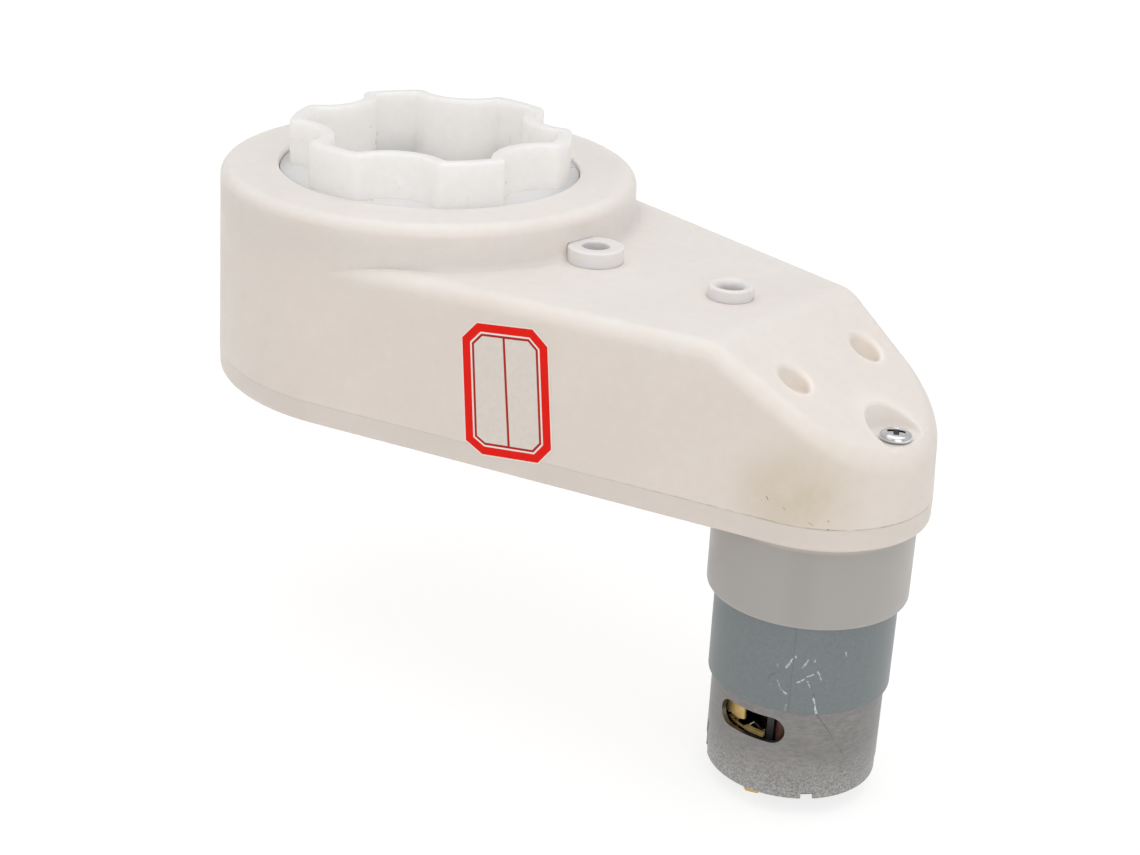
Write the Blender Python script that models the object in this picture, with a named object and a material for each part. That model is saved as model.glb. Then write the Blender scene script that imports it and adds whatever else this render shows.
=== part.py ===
"""Geared dc motor: a can motor hung under the nose of a moulded three-stage spur gearbox.

Lengths in this file are millimetres, and new_object() turns them into metres.
The origin lies on the output axis at the underside of the cover. +Z runs up the output
axis and +X points at the motor's axis.
"""
import math

import bmesh
import bpy

MM = 0.001
TAU = 2 * math.pi

# Fits
SEAT = 0.3            # gap between two pieces that rest on each other
RUN = 0.3             # radial clearance of a plain bearing
PLAY = 0.3            # end play of a turning piece
PRESS = 0.06          # radial gap of a pressed joint
TUCK = 0.05           # how far a blended wall starts inside its neighbour
PROUD = 1.0           # how far a cutter runs past the face that it cuts

# Gear train, from the motor to the output
PRESSURE_ANGLE = math.radians(20)
BACKLASH = 0.12
DEDENDUM = 1.25        # root depth in modules
MOTOR_TEETH = 10
FIRST_WHEEL_TEETH = 53
FIRST_MODULE = 0.8
FIRST_SHIFT = 0.32
FIRST_FACE = 6.5
FIRST_PINION_TEETH = 12
SECOND_WHEEL_TEETH = 54
SECOND_MODULE = 1.0
SECOND_SHIFT = 0.3
SECOND_FACE = 8.0
SECOND_PINION_TEETH = 13
OUTPUT_TEETH = 68
OUTPUT_MODULE = 1.25
OUTPUT_SHIFT = 0.25
OUTPUT_FACE = 11.9
SECOND_BEARING = math.radians(-3.2)    # direction from the output to the second idler
FIRST_BEARING = math.radians(5.39)     # direction from the second idler to the first
STAGE_GAP = 1.0
WHEEL_WEB = 3.6
WHEEL_RIM = 2.6
WHEEL_HUB_R = 8.0
SHOULDER = 1.2         # the thrust shoulder stands this far out from its journal
CORE_INSET = 0.4
FOOT_JOURNAL_R = 5.0
SECOND_JOURNAL_R = 5.9
SECOND_JOURNAL_RISE = 3.4
SECOND_BORE_R = 2.9
FIRST_JOURNAL_R = 4.75
FIRST_JOURNAL_RISE = 2.65
FIRST_BORE_R = 2.6

# Output gear
AXLE_BORE_R = 6.1
HUB_JOURNAL_R = 11.0
HUB_R = 14.0
UPPER_HUB_R = 9.5
UPPER_HUB_RISE = 6.0
OUTPUT_WEB = 5.5
OUTPUT_RIM = 4.0
WEB_RECESS = 0.4
LOBES = 6
LOBE_R = 31.2
SCALLOP_DEPTH = 5.9
SCALLOP_HALF = math.radians(16)
CROWN_WALL = 3.0
CROWN_RISE = 9.0
CROWN_GAP = 2.3
THRUST_LAND = 3.5
THRUST_WALL = 2.4

# Housing and cover
WALL = 2.4
ROOF = 2.5
FLOOR = 2.5
BOSS_RISE = 2.7
BOSS_WALL = 2.2
GEAR_ROOM = 0.55
HEADROOM = 1.0
PINION_SHARE = 0.33     # share of the headroom that the second pinion runs into
DRUM_RISE = 9.3
SKIRT = 5.0
SEAM_GAP = 0.3
LIP = 1.2
LIP_RISE = 3.0
DRAFT = math.tan(math.radians(1))
ARM_FILLET = 3.5
DRUM_FILLET = 2.6
COVER_FILLET = 0.8
BEARING_RIB = 2.0
BEARING_RIB_DEPTH = 5.0
SOCKET_FLOOR = 1.0
CREASE_BACK = 11.6     # the crease's distance from the motor's axis
RAMP_SLOPE = math.tan(math.radians(30.1))
NOSE_SCREW_INSET = 6.6  # the nose screw's distance from the nose's outer face
POCKET_R = 6.3
POCKET_LIFT = 1.9       # the pocket's floor above the ramp's foot
PIT_R = 3.25
PIT_DEPTH = 4.0

# Screws
SHANK_R = 1.5
HEAD_R = 3.25
HEAD_H = 1.5
CROSS_WIDTH = 0.9
CROSS_DEPTH = 0.8
CROSS_REACH = 1.85
CROSS_TURN = math.radians(30)
POINT_SHARE = 0.4      # share of the shank's radius left at its point
DOME_SHARE = 0.45      # share of the head's height that is domed
DOME_BEND = 0.72       # share of the head's radius where the dome bends
DOME_BEND_DROP = 0.25  # share of the dome that lies above the bend
SCREW_ENGAGE = 9.0
DRUM_SCREW_ANGLES = (math.radians(100), math.radians(180), math.radians(260))
BOSS_SINK = 1.4        # how far a screw boss runs into the wall beside it

# Motor
CAN_R = 17.9
CAN_LENGTH = 57.0
CAN_WALL = 1.0
CAN_FILLET = 1.6
SPIGOT_R = 6.5
SPIGOT_RISE = 3.5
MOTOR_PAD = 1.5
MOTOR_SCREW_SPAN = 25.0
MOTOR_SCREW_REACH = 3.0
FLUX_WALL = 0.64
BARE_LENGTH = 20.6      # how much of the can shows below the flux ring
FLUX_DROP = 2.4
FLUX_SPLIT = 0.6
FLUX_SPLIT_ANGLE = math.radians(-62)
COLLAR_GAP = 0.36
COLLAR_WALL = 1.5
COLLAR_LENGTH = 18.1
NOSE_LEDGE = 2.3
VENT_ANGLE = math.radians(-88.6)
VENT_HALF = math.radians(25.5)
VENT_HEIGHT = 5.8
VENT_LIFT = 15.3       # the vent's middle above the can's lower rim
NOTCH_ANGLE = math.radians(-44.3)
NOTCH_WIDTH = 2.9
NOTCH_HEIGHT = 1.4
SHAFT_R = 1.585
SHAFT_RISE = 15.3      # the shaft's length past the can's front face
BEARING_R = 4.0
BEARING_LENGTH = 3.4
BUSH_PLAY = 0.12       # radial clearance of the shaft in its bushes
MAGNET_WALL = 4.0
MAGNET_HALF = math.radians(61)
MAGNET_LEAD = 3.7       # how far the magnets run past the stack in front
MAGNET_TAIL = 0.3       # and behind
AIR_GAP = 0.6
POLES = 3
STACK_DROP = 12.2       # from the can's front to the stack
STACK_BACK = 18.8       # from the stack to the can's lower rim
POLE_NECK = 4.4
POLE_HALF = math.radians(50)
POLE_TIP = 1.3
COIL_WALL = 3.0
COMMUTATOR_R = 5.0
COMMUTATOR_LENGTH = 8.0
COMMUTATOR_SLOT = 0.6
COMMUTATOR_GAP = 0.8
END_CAP = 3.0
END_RIM = 1.6
END_RIM_RISE = 4.0
END_BOSS_R = 6.0
END_BOSS_DROP = 1.5
TERMINAL_INSET = 4.9   # from the can's outside to the terminal's middle
TERMINAL_ANGLE = math.radians(-91)
TERMINAL_TURN = math.radians(20)    # off the tangent
TERMINAL_WIDTH = 4.8
TERMINAL_TIP = 2.7
TERMINAL_THICK = 0.6
TERMINAL_DROP = 3.7
BRUSH_LENGTH = 3.4
BRUSH_WIDTH = 3.6
BRUSH_HEIGHT = 4.4
ARM_THICK = 0.5

# Facets
DRUM_FACETS = 48
HULL_FACETS = 36
NOSE_FACETS = 18
ROUND_FACETS = 24
SMALL_FACETS = 12
FILLET_STEPS = 2
LOBE_STEPS = 6
SCALLOP_STEPS = 8
POCKET_STEPS = 12
MAGNET_STEPS = 14
SHOE_STEPS = 10
VENT_STEPS = 6
COIL_STEPS = 3
WHEEL_FLANK_STEPS = 1
PINION_FLANK_STEPS = 2
COMMUTATOR_FACETS = 22
BISECTIONS = 40
SHARP_ANGLE = math.radians(32)
GEAR_TURN = math.radians(2)

WHITE_NYLON = ((0.80, 0.77, 0.72, 1), 0.42, 0.0)
CLEAR_NYLON = ((0.80, 0.79, 0.78, 1), 0.36, 0.0)
BRIGHT_STEEL = ((0.42, 0.41, 0.40, 1), 0.34, 1.0)
BLUED_STEEL = ((0.23, 0.26, 0.28, 1), 0.40, 1.0)
ZINC = ((0.62, 0.65, 0.68, 1), 0.20, 1.0)
BRASS = ((0.72, 0.52, 0.23, 1), 0.28, 1.0)
BRONZE = ((0.44, 0.30, 0.17, 1), 0.45, 1.0)
COPPER = ((0.60, 0.27, 0.14, 1), 0.35, 1.0)
ENAMEL = ((0.42, 0.13, 0.06, 1), 0.30, 0.6)
FERRITE = ((0.07, 0.07, 0.08, 1), 0.70, 0.0)
CARBON = ((0.04, 0.04, 0.04, 1), 0.60, 0.0)
BLACK_NYLON = ((0.05, 0.05, 0.05, 1), 0.50, 0.0)


def pitch_radius(teeth, module):
    return teeth * module / 2


def tip_radius(teeth, module, shift):
    return (teeth / 2 + 1 + shift) * module


def root_radius(teeth, module, shift):
    return (teeth / 2 - DEDENDUM + shift) * module


def polar(radius, angle, centre=(0.0, 0.0)):
    return (centre[0] + radius * math.cos(angle), centre[1] + radius * math.sin(angle))


# Axes, in plan
OUTPUT = (0.0, 0.0)
SECOND = polar(pitch_radius(SECOND_PINION_TEETH + OUTPUT_TEETH, OUTPUT_MODULE), SECOND_BEARING)
FIRST = polar(pitch_radius(FIRST_PINION_TEETH + SECOND_WHEEL_TEETH, SECOND_MODULE), FIRST_BEARING, SECOND)
MOTOR_STEP = pitch_radius(MOTOR_TEETH + FIRST_WHEEL_TEETH, FIRST_MODULE)
MOTOR = (FIRST[0] + math.sqrt(MOTOR_STEP ** 2 - FIRST[1] ** 2), 0.0)

# Levels
Z_GEARS = FLOOR + BOSS_RISE + PLAY
Z_FIRST_TOP = Z_GEARS + FIRST_FACE
Z_SECOND = Z_FIRST_TOP + STAGE_GAP
Z_SECOND_TOP = Z_SECOND + SECOND_FACE
Z_OUTPUT = Z_SECOND_TOP + STAGE_GAP
Z_OUTPUT_TOP = Z_OUTPUT + OUTPUT_FACE
Z_CEILING = Z_OUTPUT_TOP + HEADROOM
Z_ARM = Z_CEILING + ROOF
Z_DRUM = Z_ARM + DRUM_RISE
Z_DRUM_CEILING = Z_DRUM - ROOF
Z_CROWN = Z_DRUM + CROWN_RISE
Z_COVER_TOP = SKIRT - SEAM_GAP / 2
Z_HOUSING = SKIRT + SEAM_GAP / 2
Z_LIP = SKIRT + LIP_RISE
Z_CAN = -MOTOR_PAD - SEAT
Z_CAN_END = Z_CAN - CAN_LENGTH
Z_FLUX = Z_CAN - FLUX_DROP
Z_FLUX_END = Z_CAN_END + BARE_LENGTH
Z_STACK = Z_CAN - STACK_DROP
Z_STACK_END = Z_CAN_END + STACK_BACK
Z_COIL_END = Z_STACK_END - SEAT - COIL_WALL
Z_COMMUTATOR = Z_COIL_END - SEAT
Z_CAP = Z_CAN_END + SEAT

# Radii that follow from the gears and the motor
OUTPUT_TIP = tip_radius(OUTPUT_TEETH, OUTPUT_MODULE, -OUTPUT_SHIFT)
SECOND_TIP = tip_radius(SECOND_WHEEL_TEETH, SECOND_MODULE, -SECOND_SHIFT)
FIRST_TIP = tip_radius(FIRST_WHEEL_TEETH, FIRST_MODULE, -FIRST_SHIFT)
DRUM_R = OUTPUT_TIP + GEAR_ROOM + WALL + DRAFT * (Z_OUTPUT_TOP - SKIRT)
FLUX_R = CAN_R + SEAT + FLUX_WALL
COLLAR_INNER_R = FLUX_R + COLLAR_GAP
COLLAR_R = COLLAR_INNER_R + COLLAR_WALL
NOSE_R = COLLAR_R + NOSE_LEDGE
CROWN_HOLE_R = LOBE_R + CROWN_GAP
THRUST_R = CROWN_HOLE_R + THRUST_LAND
CAN_INNER_R = CAN_R - CAN_WALL
TERMINAL_OFFSET = CAN_R - TERMINAL_INSET
MAGNET_R = CAN_INNER_R - SEAT
MAGNET_INNER_R = MAGNET_R - MAGNET_WALL
ARMATURE_R = MAGNET_INNER_R - AIR_GAP
SHOE_TIP = polar(ARMATURE_R - POLE_TIP, POLE_HALF)
SHOE_NECK = SHOE_TIP[0] + POLE_TIP
COIL_HALF = POLE_NECK / 2 + SEAT + COIL_WALL
COIL_INNER = (COIL_HALF * math.cos(math.pi / POLES) + SEAT) / math.sin(math.pi / POLES)
COIL_SHARE = (COIL_HALF - POLE_NECK / 2) / (SHOE_TIP[1] - POLE_NECK / 2)
COIL_OUTER = SHOE_NECK - POLE_TIP * COIL_SHARE - SEAT
BOSS_R = SHANK_R + RUN + BOSS_WALL
CLEAR_R = SHANK_R + RUN

# Roof of the arm: flat up to the crease, then a ramp down to the nose
CREASE = MOTOR[0] - CREASE_BACK
TANGENT = math.acos((DRUM_R - NOSE_R) / MOTOR[0])
Z_POCKET = Z_ARM - RAMP_SLOPE * (MOTOR[0] + NOSE_R - CREASE) + POCKET_LIFT
NOSE_SCREW = (MOTOR[0] + NOSE_R - NOSE_SCREW_INSET, 0.0)
NOSE_BOSS_R = NOSE_SCREW_INSET - WALL - SEAT - DRAFT * (Z_CEILING - SKIRT)


def roof_height(x, top, crease):
    return top - RAMP_SLOPE * max(0.0, x - crease)


def clear_scene():
    for thing in list(bpy.data.objects):
        bpy.data.objects.remove(thing, do_unlink=True)


def new_object(name, bm):
    """Turn a millimetre bmesh into an object in metres."""
    bm.normal_update()
    bmesh.ops.recalc_face_normals(bm, faces=bm.faces)
    bmesh.ops.scale(bm, vec=(MM, MM, MM), verts=bm.verts)
    mesh = bpy.data.meshes.new(name)
    bm.to_mesh(mesh)
    bm.free()
    thing = bpy.data.objects.new(name, mesh)
    bpy.context.collection.objects.link(thing)
    return thing


def combine(body, tool, operation):
    """Apply one boolean to body and take the tool away."""
    step = body.modifiers.new(operation.lower(), "BOOLEAN")
    step.operation = operation
    step.solver = "EXACT"
    step.object = tool
    evaluated = body.evaluated_get(bpy.context.evaluated_depsgraph_get())
    shaped = bpy.data.meshes.new_from_object(evaluated)
    body.modifiers.clear()
    body.data = shaped
    bpy.data.objects.remove(tool, do_unlink=True)
    return body


def cut(body, *tools):
    for tool in tools:
        combine(body, tool, "DIFFERENCE")
    return body


def join(body, *tools):
    for tool in tools:
        combine(body, tool, "UNION")
    return body


def finish(thing, name, look, origin=None):
    """Name a piece, give it its material and put its origin on its axis."""
    colour, roughness, metallic = look
    thing.name = name
    thing.data.name = name
    material = bpy.data.materials.new(name)
    material.use_nodes = True
    shader = material.node_tree.nodes["Principled BSDF"]
    shader.inputs["Base Color"].default_value = colour
    shader.inputs["Roughness"].default_value = roughness
    shader.inputs["Metallic"].default_value = metallic
    material.diffuse_color = colour
    thing.data.materials.clear()
    thing.data.materials.append(material)
    thing.data.shade_smooth()
    thing.data.set_sharp_from_angle(angle=SHARP_ANGLE)
    if origin is not None:
        bm = bmesh.new()
        bm.from_mesh(thing.data)
        bmesh.ops.translate(bm, vec=(-origin[0] * MM, -origin[1] * MM, 0), verts=bm.verts)
        bm.to_mesh(thing.data)
        bm.free()
        thing.location = (origin[0] * MM, origin[1] * MM, 0)
    return thing


def arc(radius, start, end, steps, centre=(0.0, 0.0)):
    """Points along an arc, both ends included."""
    return [polar(radius, start + (end - start) * k / steps, centre) for k in range(steps + 1)]


def circle(radius, facets, centre=(0.0, 0.0), turn=0.0):
    return arc(radius, turn, turn + TAU, facets, centre)[:-1]


def hoop(rings):
    """A closed band through rings of equal length, where the last ring joins the first."""
    bm = bmesh.new()
    rows = [[bm.verts.new(point) for point in ring] for ring in rings]
    count = len(rows[0])
    for low, high in zip(rows, rows[1:] + rows[:1]):
        for k in range(count):
            after = (k + 1) % count
            bm.faces.new((low[k], low[after], high[after], high[k]))
    return new_object("hoop", bm)


def loft(rings, crease=None):
    """A closed solid through rings of equal length; crease names the two points that split its top."""
    bm = bmesh.new()
    rows = [[bm.verts.new(point) for point in ring] for ring in rings]
    count = len(rows[0])
    for low, high in zip(rows, rows[1:]):
        for k in range(count):
            after = (k + 1) % count
            bm.faces.new((low[k], low[after], high[after], high[k]))
    bm.faces.new(list(reversed(rows[0])))
    top = rows[-1]
    if crease is None:
        bm.faces.new(top)
    else:
        first, last = crease
        bm.faces.new(top[first:last + 1])
        bm.faces.new(top[last:] + top[:first + 1])
    return new_object("loft", bm)


def prism(outline, low, high):
    return loft([[(x, y, z) for x, y in outline] for z in (low, high)])


def cylinder(radius, low, high, centre=(0.0, 0.0), facets=ROUND_FACETS):
    """An upright cylinder, turned half a facet so that its edges miss those of a lathe's faces."""
    return prism(circle(radius, facets, centre, math.pi / facets), low, high)


def block(size, centre, angle=0.0):
    """A box turned about the vertical through its centre."""
    bm = bmesh.new()
    bmesh.ops.create_cube(bm, size=1.0)
    bmesh.ops.scale(bm, vec=size, verts=bm.verts)
    for vert in bm.verts:
        x, y, z = vert.co
        turned = polar(math.hypot(x, y), angle + math.atan2(y, x), centre)
        vert.co = (turned[0], turned[1], centre[2] + z)
    return new_object("block", bm)


def lathe(profile, centre=(0.0, 0.0), facets=ROUND_FACETS, turn=0.0):
    """Turn a closed profile of (radius, height) points about a vertical axis."""
    bm = bmesh.new()
    columns = []
    for radius, height in profile:
        if radius == 0:
            columns.append([bm.verts.new((centre[0], centre[1], height))] * facets)
        else:
            columns.append([bm.verts.new((x, y, height)) for x, y in circle(radius, facets, centre, turn)])
    for here, there in zip(columns, columns[1:] + columns[:1]):
        for k in range(facets):
            after = (k + 1) % facets
            corners = []
            for vert in (here[k], here[after], there[after], there[k]):
                if vert not in corners:
                    corners.append(vert)
            if len(corners) > 2:
                bm.faces.new(corners)
    return new_object("lathe", bm)


def rounded(radius, height, fillet, upward=True):
    """Profile points of a rounded rim at the given radius and height."""
    points = []
    for k in range(FILLET_STEPS + 1):
        angle = math.pi / 2 * k / FILLET_STEPS
        drop = fillet * (1 - math.sin(angle))
        points.append((radius - fillet * (1 - math.cos(angle)), height - drop if upward else height + drop))
    return points


def gear_outline(teeth, module, shift, phase, flank_steps):
    """Involute spur gear outline with one tooth centred on the phase angle."""
    pitch = pitch_radius(teeth, module)
    base = pitch * math.cos(PRESSURE_ANGLE)
    root = root_radius(teeth, module, shift)
    tip = tip_radius(teeth, module, shift)
    thickness = module * (math.pi / 2 + 2 * shift * math.tan(PRESSURE_ANGLE)) - BACKLASH
    at_base = thickness / (2 * pitch) + math.tan(PRESSURE_ANGLE) - PRESSURE_ANGLE
    foot = max(base, root)
    flank = [(root, at_base)] if root < base else []
    for k in range(flank_steps + 1):
        radius = foot + (tip - foot) * k / flank_steps
        lean = math.acos(base / radius)
        flank.append((radius, at_base - (math.tan(lean) - lean)))
    outline = []
    for tooth in range(teeth):
        middle = phase + TAU * tooth / teeth
        outline += [polar(radius, middle - half) for radius, half in flank]
        outline += [polar(radius, middle + half) for radius, half in reversed(flank)]
    return outline


def moved(outline, centre):
    return [(x + centre[0], y + centre[1]) for x, y in outline]


def bearing_of(start, end):
    return math.atan2(end[1] - start[1], end[0] - start[0])


def meshed_phase(phase, teeth, other_teeth, direction):
    """Phase of a gear that meshes with another, seen along the direction from that other one."""
    return direction + math.pi + math.pi / other_teeth - (phase - direction) * teeth / other_teeth


def crown_outline(lobe_r, scallop_r, scallop_centre):
    """Round lobes parted by concave scallops."""
    along = (lobe_r ** 2 - scallop_r ** 2 + scallop_centre ** 2) / (2 * scallop_centre)
    across = math.sqrt(lobe_r ** 2 - along ** 2)
    edge = math.atan2(across, along)
    sweep = math.atan2(across, scallop_centre - along)
    outline = []
    for lobe in range(LOBES):
        middle = TAU * lobe / LOBES
        hollow = arc(scallop_r, math.pi + sweep, math.pi - sweep, SCALLOP_STEPS, (scallop_centre, 0.0))
        turned = [polar(math.hypot(x, y), middle + math.atan2(y, x)) for x, y in hollow]
        outline += turned
        outline += arc(lobe_r, middle + edge, middle + TAU / LOBES - edge, LOBE_STEPS)[1:-1]
    return outline


def hull_outline(inset):
    """Plan of the gearbox: the drum and the nose with their common tangents."""
    drum = arc(DRUM_R - inset, TANGENT, TAU - TANGENT, HULL_FACETS)
    nose = arc(NOSE_R - inset, -TANGENT, TANGENT, NOSE_FACETS, MOTOR)
    return drum + nose


def arm_outline(inset, crease):
    """Plan of the arm alone, from its tangent points on the drum round the nose."""
    drum_r = DRUM_R - inset - TUCK
    nose_r = NOSE_R - inset
    sides = []
    for side in (-1, 1):
        root = polar(drum_r, side * TANGENT)
        end = polar(nose_r, side * TANGENT, MOTOR)
        share = (crease - root[0]) / (end[0] - root[0])
        sides.append([root, (crease, root[1] + share * (end[1] - root[1]))])
    return sides[0] + arc(nose_r, -TANGENT, TANGENT, NOSE_FACETS, MOTOR) + list(reversed(sides[1]))


def arm_solid(rows, top, crease):
    """The arm through rows of (inset, depth below its roof), standing on a first row at a fixed height."""
    rings = []
    for inset, depth, height in rows:
        outline = arm_outline(inset, crease)
        if height is not None:
            rings.append([(x, y, height) for x, y in outline])
        else:
            rings.append([(x, y, roof_height(x, top, crease) - depth) for x, y in outline])
    return loft(rings, (1, len(rings[0]) - 2))


def boss_places():
    """Screw bosses beside the walls: three in the drum, two where both idler wheels leave room."""
    reach = DRUM_R - WALL - BOSS_R + BOSS_SINK
    places = [polar(reach, angle) for angle in DRUM_SCREW_ANGLES]
    for side in (-1, 1):
        low, high = SECOND[0], FIRST[0]
        for _ in range(BISECTIONS):
            x = (low + high) / 2
            y = side * (reach - x * math.cos(TANGENT)) / math.sin(TANGENT)
            spare_second = math.dist((x, y), SECOND) - SECOND_TIP
            spare_first = math.dist((x, y), FIRST) - FIRST_TIP
            if spare_second < spare_first:
                low = x
            else:
                high = x
        places.append((x, y))
    return places


def motor_screw_places():
    return [(MOTOR[0], side * MOTOR_SCREW_SPAN / 2) for side in (-1, 1)]


def housing_cavity():
    """The space inside the housing, round its bosses, ribs and wells."""
    low = Z_HOUSING - PROUD
    taper = DRAFT * (Z_DRUM_CEILING - SKIRT)
    space = lathe([(0, low), (DRUM_R - WALL, low), (DRUM_R - WALL - taper, Z_DRUM_CEILING),
                   (0, Z_DRUM_CEILING)], facets=DRUM_FACETS, turn=math.pi / DRUM_FACETS)
    slant = WALL * math.sqrt(1 + RAMP_SLOPE ** 2)
    inner_crease = CREASE + (ROOF - slant) / RAMP_SLOPE
    shrink = DRAFT * (Z_CEILING - SKIRT)
    join(space, arm_solid([(WALL, 0, low), (WALL + shrink, 0, None)], Z_CEILING, inner_crease))
    rib = lathe([(THRUST_R + RUN, Z_DRUM_CEILING - BEARING_RIB_DEPTH), (THRUST_R + RUN, Z_DRUM),
                 (THRUST_R + RUN + BEARING_RIB, Z_DRUM),
                 (THRUST_R + RUN + BEARING_RIB, Z_DRUM_CEILING - BEARING_RIB_DEPTH)], facets=DRUM_FACETS)
    relief = SECOND_JOURNAL_R + RUN + SEAT + WALL
    cut(space, rib, cylinder(relief, Z_CEILING, Z_DRUM, SECOND))
    for place in boss_places():
        cut(space, cylinder(BOSS_R, low - PROUD, Z_OUTPUT - STAGE_GAP, place, SMALL_FACETS))
    for place in motor_screw_places():
        bottom = roof_height(place[0], Z_ARM, CREASE) - PIT_DEPTH - WALL
        cut(space, cylinder(PIT_R + WALL, bottom, Z_ARM, place, SMALL_FACETS))
    cut(space, pocket(WALL, Z_POCKET - WALL))
    return space


def pocket(grow, low):
    """The screw pocket, a round-ended trough that runs out over the nose."""
    radius = POCKET_R + grow
    far = MOTOR[0] + NOSE_R + PROUD
    outline = arc(radius, math.pi / 2, 3 * math.pi / 2, POCKET_STEPS, NOSE_SCREW)
    return prism(outline + [(far, -radius), (far, radius)], low, Z_ARM)


def upper_housing():
    top = DRAFT * (Z_DRUM - SKIRT)
    rim = rounded(DRUM_R - top, Z_DRUM, DRUM_FILLET)
    shell = lathe([(0, Z_HOUSING), (DRUM_R, Z_HOUSING)] + rim + [(0, Z_DRUM)], facets=DRUM_FACETS)
    lean = DRAFT * (Z_ARM - SKIRT)
    rows = [(0, 0, Z_HOUSING)]
    for inset, depth in rounded(0, 0, ARM_FILLET):
        rows.append((lean - inset, -depth, None))
    join(shell, arm_solid(rows, Z_ARM, CREASE))
    cut(shell, housing_cavity())
    cut(shell, cylinder(CROWN_HOLE_R, Z_DRUM_CEILING - PROUD, Z_DRUM + PROUD, facets=DRUM_FACETS))
    over = Z_ARM + SECOND_JOURNAL_RISE + RUN
    cut(shell, cylinder(SECOND_JOURNAL_R + RUN, Z_CEILING - PROUD, over, SECOND))
    cut(shell, cylinder(FIRST_JOURNAL_R + RUN, Z_CEILING - PROUD, Z_ARM + PROUD, FIRST))
    for place in motor_screw_places():
        bottom = roof_height(place[0], Z_ARM, CREASE) - PIT_DEPTH
        cut(shell, cylinder(PIT_R, bottom, Z_ARM, place, SMALL_FACETS))
    cut(shell, pocket(0, Z_POCKET))
    cut(shell, cylinder(CLEAR_R, Z_POCKET - WALL - PROUD, Z_POCKET + PROUD, NOSE_SCREW, SMALL_FACETS))
    for place in boss_places():
        cut(shell, cylinder(CLEAR_R, 0, SKIRT + SCREW_ENGAGE + PROUD, place, SMALL_FACETS))
    finish(shell, "upper_housing", WHITE_NYLON)


def cover_cavity():
    """The space above the cover's floor, round the bearing bosses and screw seats."""
    outline = hull_outline(WALL + SEAT + LIP)
    space = prism(outline, FLOOR, Z_LIP + PROUD)
    thrust = FLOOR + BOSS_RISE
    cut(space, cylinder(HUB_JOURNAL_R + RUN + BOSS_WALL, 0, thrust, OUTPUT))
    for place in (SECOND, FIRST):
        cut(space, cylinder(FOOT_JOURNAL_R + RUN + BOSS_WALL, 0, thrust, place))
    for place in boss_places():
        cut(space, cylinder(BOSS_R + WALL / 2, 0, Z_COVER_TOP, place, SMALL_FACETS))
    return space


def lower_cover():
    edge = rounded(0, 0, COVER_FILLET, upward=False)
    rings = [[(x, y, height) for x, y in hull_outline(-inset)] for inset, height in reversed(edge)]
    rings.append([(x, y, Z_COVER_TOP) for x, y in hull_outline(0)])
    plate = loft(rings)
    join(plate, prism(hull_outline(WALL + SEAT), FLOOR / 2, Z_LIP))
    collar = lathe([(0, FLOOR / 2), (COLLAR_R, FLOOR / 2), (COLLAR_R, -COLLAR_LENGTH),
                    (COLLAR_INNER_R, -COLLAR_LENGTH), (COLLAR_INNER_R, -MOTOR_PAD), (0, -MOTOR_PAD)],
                   MOTOR, 2 * NOSE_FACETS)
    join(plate, collar)
    cut(plate, cover_cavity())
    join(plate, cylinder(NOSE_BOSS_R, FLOOR / 2, Z_POCKET - WALL - SEAT, NOSE_SCREW, SMALL_FACETS))
    cut(plate, cylinder(HUB_JOURNAL_R + RUN, -PROUD, Z_GEARS + PROUD, OUTPUT))
    for place in (SECOND, FIRST):
        cut(plate, cylinder(FOOT_JOURNAL_R + RUN, SOCKET_FLOOR, Z_GEARS + PROUD, place))
    cut(plate, cylinder(SPIGOT_R + SEAT, -MOTOR_PAD - PROUD, FLOOR + PROUD, MOTOR))
    for place in motor_screw_places():
        cut(plate, cylinder(CLEAR_R, -MOTOR_PAD - PROUD, FLOOR + PROUD, place, SMALL_FACETS))
    for place in boss_places():
        cut(plate, cylinder(BOSS_R + SEAT, Z_COVER_TOP - SEAT, Z_LIP + PROUD, place, SMALL_FACETS))
        cut(plate, cylinder(CLEAR_R, -PROUD, SKIRT, place, SMALL_FACETS))
        cut(plate, cylinder(HEAD_R + RUN, -PROUD, HEAD_H, place, SMALL_FACETS))
    cut(plate, cylinder(CLEAR_R, FLOOR, Z_POCKET, NOSE_SCREW, SMALL_FACETS))
    finish(plate, "lower_cover", WHITE_NYLON)


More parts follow.
